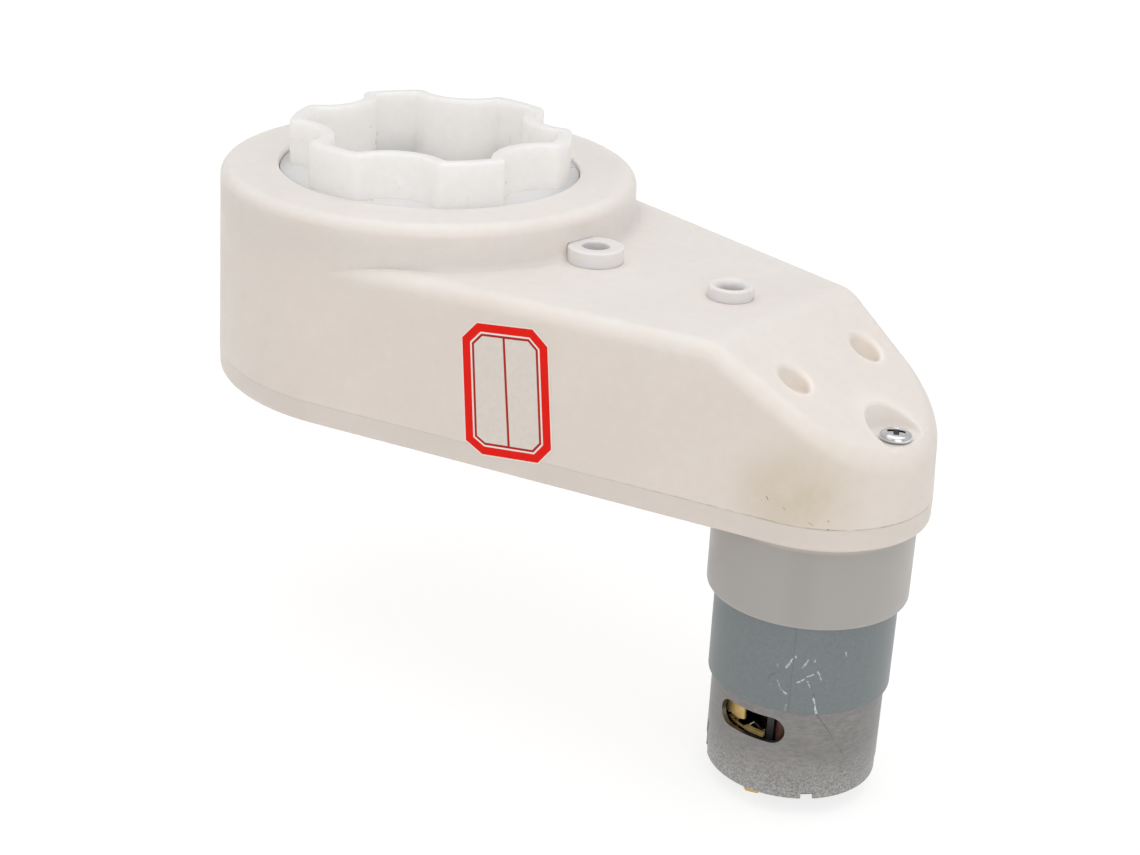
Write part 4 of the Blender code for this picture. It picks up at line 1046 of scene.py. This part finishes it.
def inset_outline(points, distance):
    """A convex outline moved inwards by a distance."""
    count = len(points)
    result = []
    for k in range(count):
        a, b, c = Vector(points[k - 1]), Vector(points[k]), Vector(points[(k + 1) % count])
        u = (b - a).normalized()
        v = (c - b).normalized()
        inward = Vector((-u.y, u.x)) + Vector((-v.y, v.x))
        inward.normalize()
        spread = distance / max(0.2, inward.dot(Vector((-u.y, u.x))))
        result.append(tuple(b + inward * spread))
    return result


def label():
    """Blank printed sticker on the front wall: a coloured border, a fine inner line and a middle rule."""
    corners = [(50.8, 3.1), (63.5, 4.3), (66.4, 8.1), (64.2, 29.8), (60.6, 32.9), (48.1, 31.6), (44.8, 27.7),
               (46.7, 5.4)]
    bands = [0.0, 0.3, 2.05, 2.42, 2.92]
    paper, red, line, edge = range(4)
    face_lift, edge_lift = 0.07, 0.01
    normal = Vector((cos(-TANGENT), sin(-TANGENT), 0))
    bm = bmesh.new()

    def on_wall(x, z, lift=face_lift):
        reach = DRUM_R - DRAFT * (z - SKIRT) + lift
        return bm.verts.new((x, (reach - x * normal.x) / normal.y, z))

    outlines = [inset_outline(corners, distance) for distance in bands]
    rows = [[on_wall(x, z) for x, z in outline] for outline in outlines]
    skirt = [on_wall(x, z, edge_lift) for x, z in corners]
    count = len(corners)
    for k in range(count):
        after = (k + 1) % count
        bm.faces.new((skirt[k], skirt[after], rows[0][after], rows[0][k])).material_index = edge
        for low, high, slot in zip(rows, rows[1:], (edge, red, edge, line)):
            bm.faces.new((low[k], low[after], high[after], high[k])).material_index = slot
    inner = rows[-1]
    points = [Vector(point) for point in outlines[-1]]
    low = points[0].lerp(points[1], 0.50)
    high = points[5].lerp(points[4], 0.47)
    half = Vector((0.26, 0.0))
    rule = [on_wall(*point) for point in (low - half, low + half, high + half, high - half)]
    bm.faces.new(rule).material_index = line
    bm.faces.new((inner[0], rule[0], rule[3], inner[5], inner[6], inner[7])).material_index = paper
    bm.faces.new((rule[1], inner[1], inner[2], inner[3], inner[4], rule[2])).material_index = paper
    bm.faces.new(list(reversed(skirt))).material_index = paper
    thing = make("label", bm)
    for name, first, second, scale, rough in (
            ("label_paper", (0.78, 0.745, 0.71, 1), (0.73, 0.695, 0.66, 1), 900.0, 0.55),
            ("label_red", (0.84, 0.009, 0.003, 1), (0.79, 0.008, 0.003, 1), 700.0, 0.5),
            ("label_line", (0.40, 0.018, 0.014, 1), (0.46, 0.022, 0.016, 1), 700.0, 0.5),
            ("label_edge", (0.90, 0.84, 0.81, 1), (0.86, 0.80, 0.77, 1), 900.0, 0.55)):
        fixed = {"Specular IOR Level": 0.18}
        thing.data.materials.append(grained(name, first, second, rough, scale, 0.006, 0.5, None, fixed))
    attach(thing, "gearbox")


# Looks

def shallow(tree, coords, depth, places):
    """How deep light goes into the plastic: most in the roof, less near the seam and the given spots."""
    height = axes(tree, coords)[2]
    off = calc(tree, "ABSOLUTE", calc(tree, "SUBTRACT", height, Z_COVER_TOP * MM))
    share = remap(tree, off, 0.3 * MM, 5.0 * MM, 0.015, 0.35)
    share = calc(tree, "MAXIMUM", share, remap(tree, height, 22.0 * MM, 40.0 * MM))
    if places:
        far = calc(tree, "SUBTRACT", 1.0, spots(tree, coords, places, 0.35))
        share = calc(tree, "MINIMUM", share, far)
    return calc(tree, "MULTIPLY", share, depth * MM)


def nylon(name, pale, deep, rough, depth, stains_and_painted_light=(), specks=(), grime_and_shade=None, thin=None):
    """Moulded translucent plastic with faint flow marks, yellowed staining and specks, and painted light
    that makes hollows lighter, standing in for light through the plastic.
    """
    look, tree, shader, coords = start_look(name)
    colour = blend(tree, remap(tree, noise(tree, coords, 38.0, 4.0, 0.6), 0.32, 0.70), pale, deep)
    cloud = noise(tree, coords, 420.0, 3.0, 0.6)
    colour = blend(tree, remap(tree, cloud, 0.3, 0.7, 0.0, 0.10), colour, (0.62, 0.57, 0.50, 1))
    # Tinted spots: yellowed staining, and painted light that lightens hollows.
    for places, tint in stains_and_painted_light:
        uneven = remap(tree, noise(tree, coords, 140.0, 3.0, 0.6), 0.25, 0.65, 0.4, 1.0)
        colour = blend(tree, calc(tree, "MULTIPLY", spots(tree, coords, places, 0.95), uneven), colour, tint)
    if specks:
        jitter = remap(tree, noise(tree, coords, 900.0, 2.0), 0.40, 0.52)
        mask = calc(tree, "MULTIPLY", spots(tree, coords, specks, 0.5), jitter)
        colour = blend(tree, mask, colour, (0.10, 0.07, 0.05, 1))
    if grime_and_shade is not None:
        # For the housing this paints dirt along the seam; for the cover it paints shade on the collar.
        colour = grime_and_shade(tree, coords, colour)
    wear = noise(tree, coords, 160.0, 4.0, 0.65)
    grain = bump(tree, noise(tree, coords, 2600.0, 2.0), 0.012, 0.7)
    scale = depth * MM if thin is None else shallow(tree, coords, depth, thin)
    plug(tree, shader, {
        "Base Color": colour, "Roughness": remap(tree, wear, 0.3, 0.7, rough - 0.06, rough + 0.08),
        "Normal": bump(tree, noise(tree, coords, 70.0, 2.0), 0.12, 0.5, grain), "Subsurface Weight": 1.0,
        "Subsurface Radius": (1.0, 0.92, 0.82), "Subsurface Scale": scale, "IOR": 1.52})
    return look


def metal(name, dark, light, rough, scale=900.0, grain=(1.0, 1.0, 1.0), depth=0.01, marks=None, edge=0.12):
    """Bare metal with mottled colour, uneven gloss and fine grain."""
    look, tree, shader, coords = start_look(name)
    fine = noise(tree, stretch(tree, coords, grain), scale, 4.0, 0.65)
    broad = noise(tree, coords, 130.0, 3.0, 0.6)
    colour = blend(tree, remap(tree, fine, 0.28, 0.72), dark, light)
    colour = blend(tree, remap(tree, broad, 0.3, 0.75, 0.0, 0.45), colour, dark)
    # On the can these marks are wear; on the nose screw they are painted shade in its cross recess.
    if marks is not None:
        colour = marks(tree, coords, colour)
    plug(tree, shader, {
        "Base Color": colour, "Roughness": remap(tree, fine, 0.25, 0.75, rough - 0.07, rough + 0.09),
        "Normal": bump(tree, fine, depth, 0.6, bevel(tree, edge)), "Metallic": 1.0})
    return look


def painted(name, dark, light, rough, marks):
    """Satin plated band: a thin even coat with faint mottling and scuffs."""
    look, tree, shader, coords = start_look(name)
    fine = noise(tree, coords, 1400.0, 4.0, 0.6)
    broad = noise(tree, coords, 90.0, 3.0, 0.6)
    colour = blend(tree, remap(tree, fine, 0.3, 0.7), dark, light)
    colour = blend(tree, remap(tree, broad, 0.3, 0.7, 0.0, 0.3), colour, dark)
    plug(tree, shader, {
        "Base Color": marks(tree, coords, colour),
        "Roughness": remap(tree, fine, 0.3, 0.7, rough - 0.05, rough + 0.06),
        "Normal": bump(tree, fine, 0.008, 0.5, bevel(tree, 0.15)), "Metallic": 0.55})
    return look


def grained(name, dark, light, rough, scale=700.0, depth=0.02, strength=0.6, edge=0.15, fixed=None):
    """A fine even grain of two colours: dark plastic, carbon, ferrite, dim brass, paper or ink."""
    look, tree, shader, coords = start_look(name)
    fine = noise(tree, coords, scale, 4.0, 0.6)
    inputs = {"Base Color": blend(tree, remap(tree, fine, 0.3, 0.7), dark, light),
              "Roughness": remap(tree, fine, 0.3, 0.7, rough - 0.05, rough + 0.08)}
    if depth:
        inputs["Normal"] = bump(tree, fine, depth, strength, bevel(tree, edge) if edge else None)
    plug(tree, shader, inputs)
    plug(tree, shader, fixed or {})
    return look


def can_marks(tree, coords, shade):
    """Drawing lines round the can, pitting towards its rim and one long scratch."""
    drawn = stretch(tree, coords, (0.05, 0.05, 1.0))
    lines = remap(tree, noise(tree, drawn, 3600.0, 4.0, 0.7), 0.38, 0.70, 0.0, 0.15)
    shade = blend(tree, lines, shade, (0.46, 0.445, 0.43, 1))
    rim = remap(tree, axes(tree, coords)[2], -0.048, -0.0580)
    pits = remap(tree, noise(tree, coords, 2200.0, 4.0, 0.7), 0.40, 0.64, 0.0, 0.55)
    shade = blend(tree, calc(tree, "MULTIPLY", rim, pits), shade, (0.66, 0.645, 0.63, 1))
    specks = remap(tree, noise(tree, coords, 700.0, 5.0, 0.8), 0.70, 0.77, 0.0, 0.75)
    shade = blend(tree, specks, shade, (0.05, 0.048, 0.045, 1))
    line = strokes(tree, coords, [(121.5, -12.4, -38.6, 123.2, -10.3, -42.3, 0.8),
                                  (123.2, -10.3, -42.3, 125.3, -6.5, -49.0, 0.6)], 0.16)
    return blend(tree, ragged(tree, coords, line, 0.3, 0.5), shade, (0.10, 0.10, 0.10, 1))


def scuffs(tree, coords, shade):
    """White and dark scuffs on one patch of the plated ring."""
    pale = (0.72, 0.735, 0.75, 1)
    shaken = wander(tree, coords, 900.0, 1.1)
    white = strokes(tree, shaken, [
        (117.6, -16.5, -25.3, 117.0, -16.8, -26.6, 1.0), (117.0, -16.8, -26.7, 116.3, -17.2, -27.9, 0.8),
        (120.0, -15.0, -25.7, 119.2, -15.6, -27.4, 0.8), (121.0, -14.2, -25.8, 121.1, -14.1, -26.2, 0.6),
        (118.4, -16.1, -31.0, 120.8, -14.4, -29.0, 0.9), (121.7, -13.5, -28.4, 122.1, -13.1, -30.0, 0.8),
        (120.2, -14.9, -30.6, 120.5, -14.6, -32.0, 0.7), (114.9, -17.8, -31.2, 115.3, -17.6, -32.4, 0.6),
        (115.6, -17.5, -33.0, 116.6, -17.1, -33.9, 0.9), (121.4, -13.8, -34.4, 122.0, -13.3, -38.0, 1.0),
        (125.0, -9.4, -24.3, 125.1, -9.1, -24.9, 0.5), (114.6, -17.9, -27.6, 114.9, -17.8, -28.2, 0.4),
        (116.9, -16.9, -36.6, 117.1, -16.8, -37.9, 0.5)], 0.25)
    shade = blend(tree, ragged(tree, coords, white, 0.36, 0.54), shade, pale)
    grains = remap(tree, noise(tree, coords, 1900.0, 2.0, 0.5), 0.72, 0.78, 0.0, 0.5)
    near = spots(tree, coords, [((119.0, -16.0, -30.0), 9.0, 1.0)], 0.7)
    shade = blend(tree, calc(tree, "MULTIPLY", grains, near), shade, pale)
    dark = strokes(tree, shaken, [
        (120.6, -14.5, -31.1, 121.5, -13.7, -34.3, 0.5), (113.0, -18.3, -31.3, 113.6, -18.1, -30.0, 0.45),
        (113.6, -18.1, -30.0, 115.3, -17.6, -29.3, 0.45)], 0.18)
    return blend(tree, dark, shade, (0.07, 0.08, 0.09, 1))


def collar_painted_shade(tree, coords, colour):
    """Grey painted on the thin collar below the cover's floor: painted shade from the housing above and from
    the dark steel behind the thin wall, with a darker painted band where the flux ring's seam lies behind
    it.
    """
    share = remap(tree, axes(tree, coords)[2], -0.0003, -0.0016, 0.0, 0.97)
    seam = polar(COLLAR_R, FLUX_SEAM, MOTOR)
    band = strokes(tree, coords, [(*seam, 0.0, *seam, -19.0, 0.35)], 4.0)
    grey = blend(tree, band, (0.455, 0.45, 0.447, 1), (0.40, 0.396, 0.394, 1))
    return blend(tree, share, colour, grey)


def recess_painted_shade(tree, coords, shade):
    """Painted shade that darkens the cross recess of the nose screw."""
    top = Z_POCKET + SEAT + HEAD_H
    sunk = remap(tree, axes(tree, coords)[2], (top - 0.22) * MM, (top - 0.5) * MM, 0.0, 0.97)
    flat = stretch(tree, coords, (1, 1, 0))
    inside = spots(tree, flat, [((*NOSE_SCREW, 0.0), 2.15, 1.0)], 0.06)
    return blend(tree, calc(tree, "MULTIPLY", sunk, inside), shade, (0.02, 0.02, 0.022, 1))


def seam_dirt(tree, coords, colour):
    """A broken line of dirt along the seam at the nose, and a few short hairs and specks above it."""
    place = axes(tree, coords)
    off = calc(tree, "ABSOLUTE", calc(tree, "SUBTRACT", place[2], (Z_COVER_TOP + 0.08) * MM))
    line = remap(tree, off, 0.04 * MM, 0.26 * MM, 0.6, 0.0)
    line = calc(tree, "MULTIPLY", line, remap(tree, place[0], 0.070, 0.112, 0.1, 1.0))
    patchy = remap(tree, noise(tree, coords, 260.0, 4.0, 0.7), 0.36, 0.62)
    colour = blend(tree, calc(tree, "MULTIPLY", line, patchy), colour, (0.33, 0.28, 0.17, 1))
    hairs = strokes(tree, wander(tree, coords, 900.0, 0.5), [
        (118.5, -20.7, 14.5, 119.2, -20.3, 14.9, 0.8), (112.0, -22.7, 15.6, 112.3, -22.6, 15.4, 0.6),
        (111.4, -22.8, 9.7, 111.8, -22.7, 9.2, 0.7), (110.5, -22.9, 8.7, 110.7, -22.9, 8.8, 0.6),
        (122.8, -18.0, 6.9, 122.95, -17.9, 6.7, 0.9), (128.9, -10.5, 5.2, 129.1, -10.1, 5.25, 0.8),
        (115.0, -22.0, 8.3, 115.4, -21.9, 8.0, 0.35), (119.6, -20.1, 6.1, 120.5, -19.6, 5.7, 0.4),
        (122.9, -18.0, 5.1, 123.1, -17.8, 4.9, 0.9), (84.0, -32.2, 6.5, 84.6, -32.0, 6.1, 0.3)], 0.17)
    return blend(tree, hairs, colour, (0.20, 0.11, 0.055, 1))


def build_looks():
    stains_and_painted_light = [([((117.0, -21.0, 10.0), 15.0, 0.75), ((62.0, -39.0, 30.0), 9.0, 0.25)],
               (0.64, 0.58, 0.42, 1)),
              # Painted light: lighter warm patches in the two screw pits and round the screw pocket,
              # standing in for light through the plastic.
              ([((*place, 27.8), 5.4, 1.0) for place in MOTOR_SCREWS], (0.97, 0.91, 0.83, 1)),
              ([((NOSE_SCREW[0] - 4, 0.0, Z_POCKET + 2), 9.0, 0.9)], (0.94, 0.90, 0.87, 1))]
    thin = [((*SECOND, Z_ARM), 11.0, 0.9), ((*FIRST, Z_ARM), 10.0, 0.9), ((55.6, -35.4, 18.0), 24.0, 0.9)]
    zinc = ((0.60, 0.62, 0.64, 1), (0.82, 0.84, 0.86, 1), 0.15, 900.0, (1, 1, 1), 0.004)
    return {
        "housing": nylon("housing_nylon", (0.845, 0.80, 0.77, 1), (0.815, 0.765, 0.735, 1), 0.40, 4.0,
                         stains_and_painted_light, grime_and_shade=seam_dirt, thin=thin),
        # The cover's look paints shade on its collar, below the floor.
        "cover": nylon("cover_nylon", (0.79, 0.75, 0.725, 1), (0.755, 0.715, 0.69, 1), 0.34, 4.0,
                       grime_and_shade=collar_painted_shade, thin=()),
        "crown": nylon("crown_nylon", (0.96, 0.935, 0.92, 1), (0.94, 0.91, 0.89, 1), 0.32, 13.0,
                       specks=[((-18.0, 21.0, 47.0), 0.4, 0.8)]),
        "bush": nylon("bush_nylon", (0.80, 0.79, 0.795, 1), (0.75, 0.74, 0.745, 1), 0.32, 1.5),
        "can": metal("can_steel", (0.185, 0.18, 0.175, 1), (0.30, 0.29, 0.28, 1), 0.40, 1300.0,
                     (0.4, 0.4, 1), 0.012, can_marks),
        "flux": painted("flux_steel", (0.175, 0.20, 0.21, 1), (0.215, 0.24, 0.252, 1), 0.38, scuffs),
        "zinc": metal("screw_zinc", *zinc, None, 0.08),
        # The nose screw's zinc carries painted shade in its cross recess.
        "nose_zinc": metal("nose_screw_zinc", *zinc, recess_painted_shade, 0.08),
        "brass": metal("brass", (0.54, 0.36, 0.13, 1), (0.72, 0.51, 0.23, 1), 0.27, 900.0),
        "bracket": grained("bracket_brass", (0.62, 0.42, 0.15, 1), (0.78, 0.56, 0.23, 1), 0.42, depth=0,
                           fixed={"Metallic": 0.35}),
        "bronze": metal("bronze", (0.30, 0.20, 0.11, 1), (0.42, 0.29, 0.17, 1), 0.48, 1300.0),
        "copper": metal("copper", (0.55, 0.25, 0.13, 1), (0.72, 0.36, 0.20, 1), 0.30, 800.0, (1, 1, 0.2)),
        "wire": metal("enamelled_wire", (0.30, 0.075, 0.03, 1), (0.46, 0.14, 0.055, 1), 0.24, 500.0),
        "steel": metal("steel", (0.42, 0.42, 0.42, 1), (0.56, 0.56, 0.56, 1), 0.30, 1200.0, (1, 1, 0.1)),
        "ferrite": grained("ferrite", (0.035, 0.035, 0.04, 1), (0.07, 0.07, 0.075, 1), 0.68),
        "carbon": grained("carbon", (0.02, 0.02, 0.02, 1), (0.05, 0.05, 0.05, 1), 0.58, 1500.0),
        "coat": grained("choke_coat", (0.085, 0.032, 0.024, 1), (0.14, 0.058, 0.042, 1), 0.42),
        "black": grained("black_nylon", (0.022, 0.022, 0.024, 1), (0.04, 0.04, 0.042, 1), 0.46, 1100.0),
    }


def repaint(looks):
    """Give the CAD pieces that stay in view their finished looks."""
    kept = {"ferrite": ("magnet_1", "magnet_2"), "bronze": ("front_bearing", "rear_bearing"),
            "carbon": ("brush_1", "brush_2"), "steel": ("motor_shaft", "armature_core"),
            "brass": ("motor_pinion",), "zinc": ("motor_screw_1", "motor_screw_2")}
    for look, nodes in kept.items():
        for node in nodes:
            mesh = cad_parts[node].data
            mesh.materials.clear()
            mesh.materials.append(looks[look])


# Stage

def floor_look():
    look = bpy.data.materials.new("floor_white")
    look.use_nodes = True
    tree = look.node_tree
    tree.nodes.clear()
    out = add(tree, "OutputMaterial")
    path = add(tree, "LightPath").outputs
    seen = largest(tree, [path[kind] for kind in ("Is Camera Ray", "Is Glossy Ray", "Is Transmission Ray")])
    paint = add(tree, "BsdfDiffuse", {"Color": (0.30, 0.30, 0.30, 1)})
    bounce = add(tree, "BsdfDiffuse", {"Color": (0.80, 0.745, 0.68, 1)})
    glow = add(tree, "Emission", {"Color": (1, 1, 1, 1), "Strength": 0.78})
    lit = add(tree, "AddShader", {0: paint.outputs[0], 1: glow.outputs[0]})
    mix = add(tree, "MixShader", {0: seen, 1: bounce.outputs[0], 2: lit.outputs[0]})
    plug(tree, out, {"Surface": mix.outputs[0]})
    return look


def build_stage():
    bm = bmesh.new()
    bmesh.ops.create_grid(bm, x_segments=1, y_segments=1, size=6.0)
    floor = to_object("floor", bm)
    floor.location = (0, 0, cad_box[0][2] - 0.0004)
    floor.data.materials.append(floor_look())
    world = bpy.data.worlds.new("studio")
    bpy.context.scene.world = world
    world.use_nodes = True
    tree = world.node_tree
    tree.nodes.clear()
    out = add(tree, "OutputWorld")
    path = add(tree, "LightPath").outputs
    rise = axes(tree, add(tree, "TexCoord").outputs["Generated"])[2]
    strength = remap(tree, rise, 0.0, 0.9, 0.60, 0.72)
    air = add(tree, "Background", {"Color": (1.0, 0.985, 0.965, 1), "Strength": strength})
    white = add(tree, "Background", {"Color": (1, 1, 1, 1), "Strength": 1.0})
    mix = add(tree, "MixShader", {0: path["Is Camera Ray"], 1: air.outputs[0], 2: white.outputs[0]})
    plug(tree, out, {"Surface": mix.outputs[0]})


def build_lights():
    """Soft boxes, each with its place, its width and height in metres and its power."""
    aim = Vector((0.05, 0.0, 0.01))
    for name, place, size, power in (
            ("top_box", (0.05, 0.05, 0.95), (1.1, 1.1), 3.1),
            ("left_box", (-0.25, -1.02, 0.55), (0.7, 0.9), 0.75),
            ("right_box", (0.85, -0.60, 0.40), (0.8, 0.8), 2.05)):
        lamp = bpy.data.lights.new(name, "AREA")
        lamp.shape = "RECTANGLE"
        lamp.size, lamp.size_y = size
        lamp.energy = power
        thing = new_object(name, lamp)
        thing.location = place
        thing.rotation_euler = (aim - Vector(place)).to_track_quat("-Z", "Y").to_euler()


def build_camera():
    """Camera solved from the photo's own circles and edges."""
    lens = bpy.data.cameras.new("camera")
    lens.sensor_fit = "HORIZONTAL"
    lens.sensor_width = 36.0
    lens.lens = 66.94
    lens.clip_start = 0.01
    lens.clip_end = 50.0
    turn = Vector((1.8632, 0.7136, -0.405))
    world_to_view = Matrix.Rotation(turn.length, 3, turn.normalized())
    flip = Matrix(((1, 0, 0), (0, -1, 0), (0, 0, -1)))
    pose = (world_to_view.transposed() @ flip).to_4x4()
    pose.translation = Vector((0.31323, -0.33460, 0.17892))
    thing = new_object("camera", lens)
    thing.matrix_world = pose
    bpy.context.scene.camera = thing


def build():
    bpy.context.scene.view_settings.view_transform = "Standard"
    build_camera()
    build_stage()
    build_lights()
    looks = build_looks()
    repaint(looks)
    dress(housing_shell(), "housing_shell", looks["housing"], "housing_nylon", "gearbox", "upper_housing")
    dress(cover_shell(), "cover_shell", looks["cover"], "housing_nylon", "gearbox", "lower_cover")
    gear_pieces(looks["crown"], looks["bush"])
    screw_pieces(looks["zinc"], looks["nose_zinc"])
    motor_pieces(looks)
    label()


build()
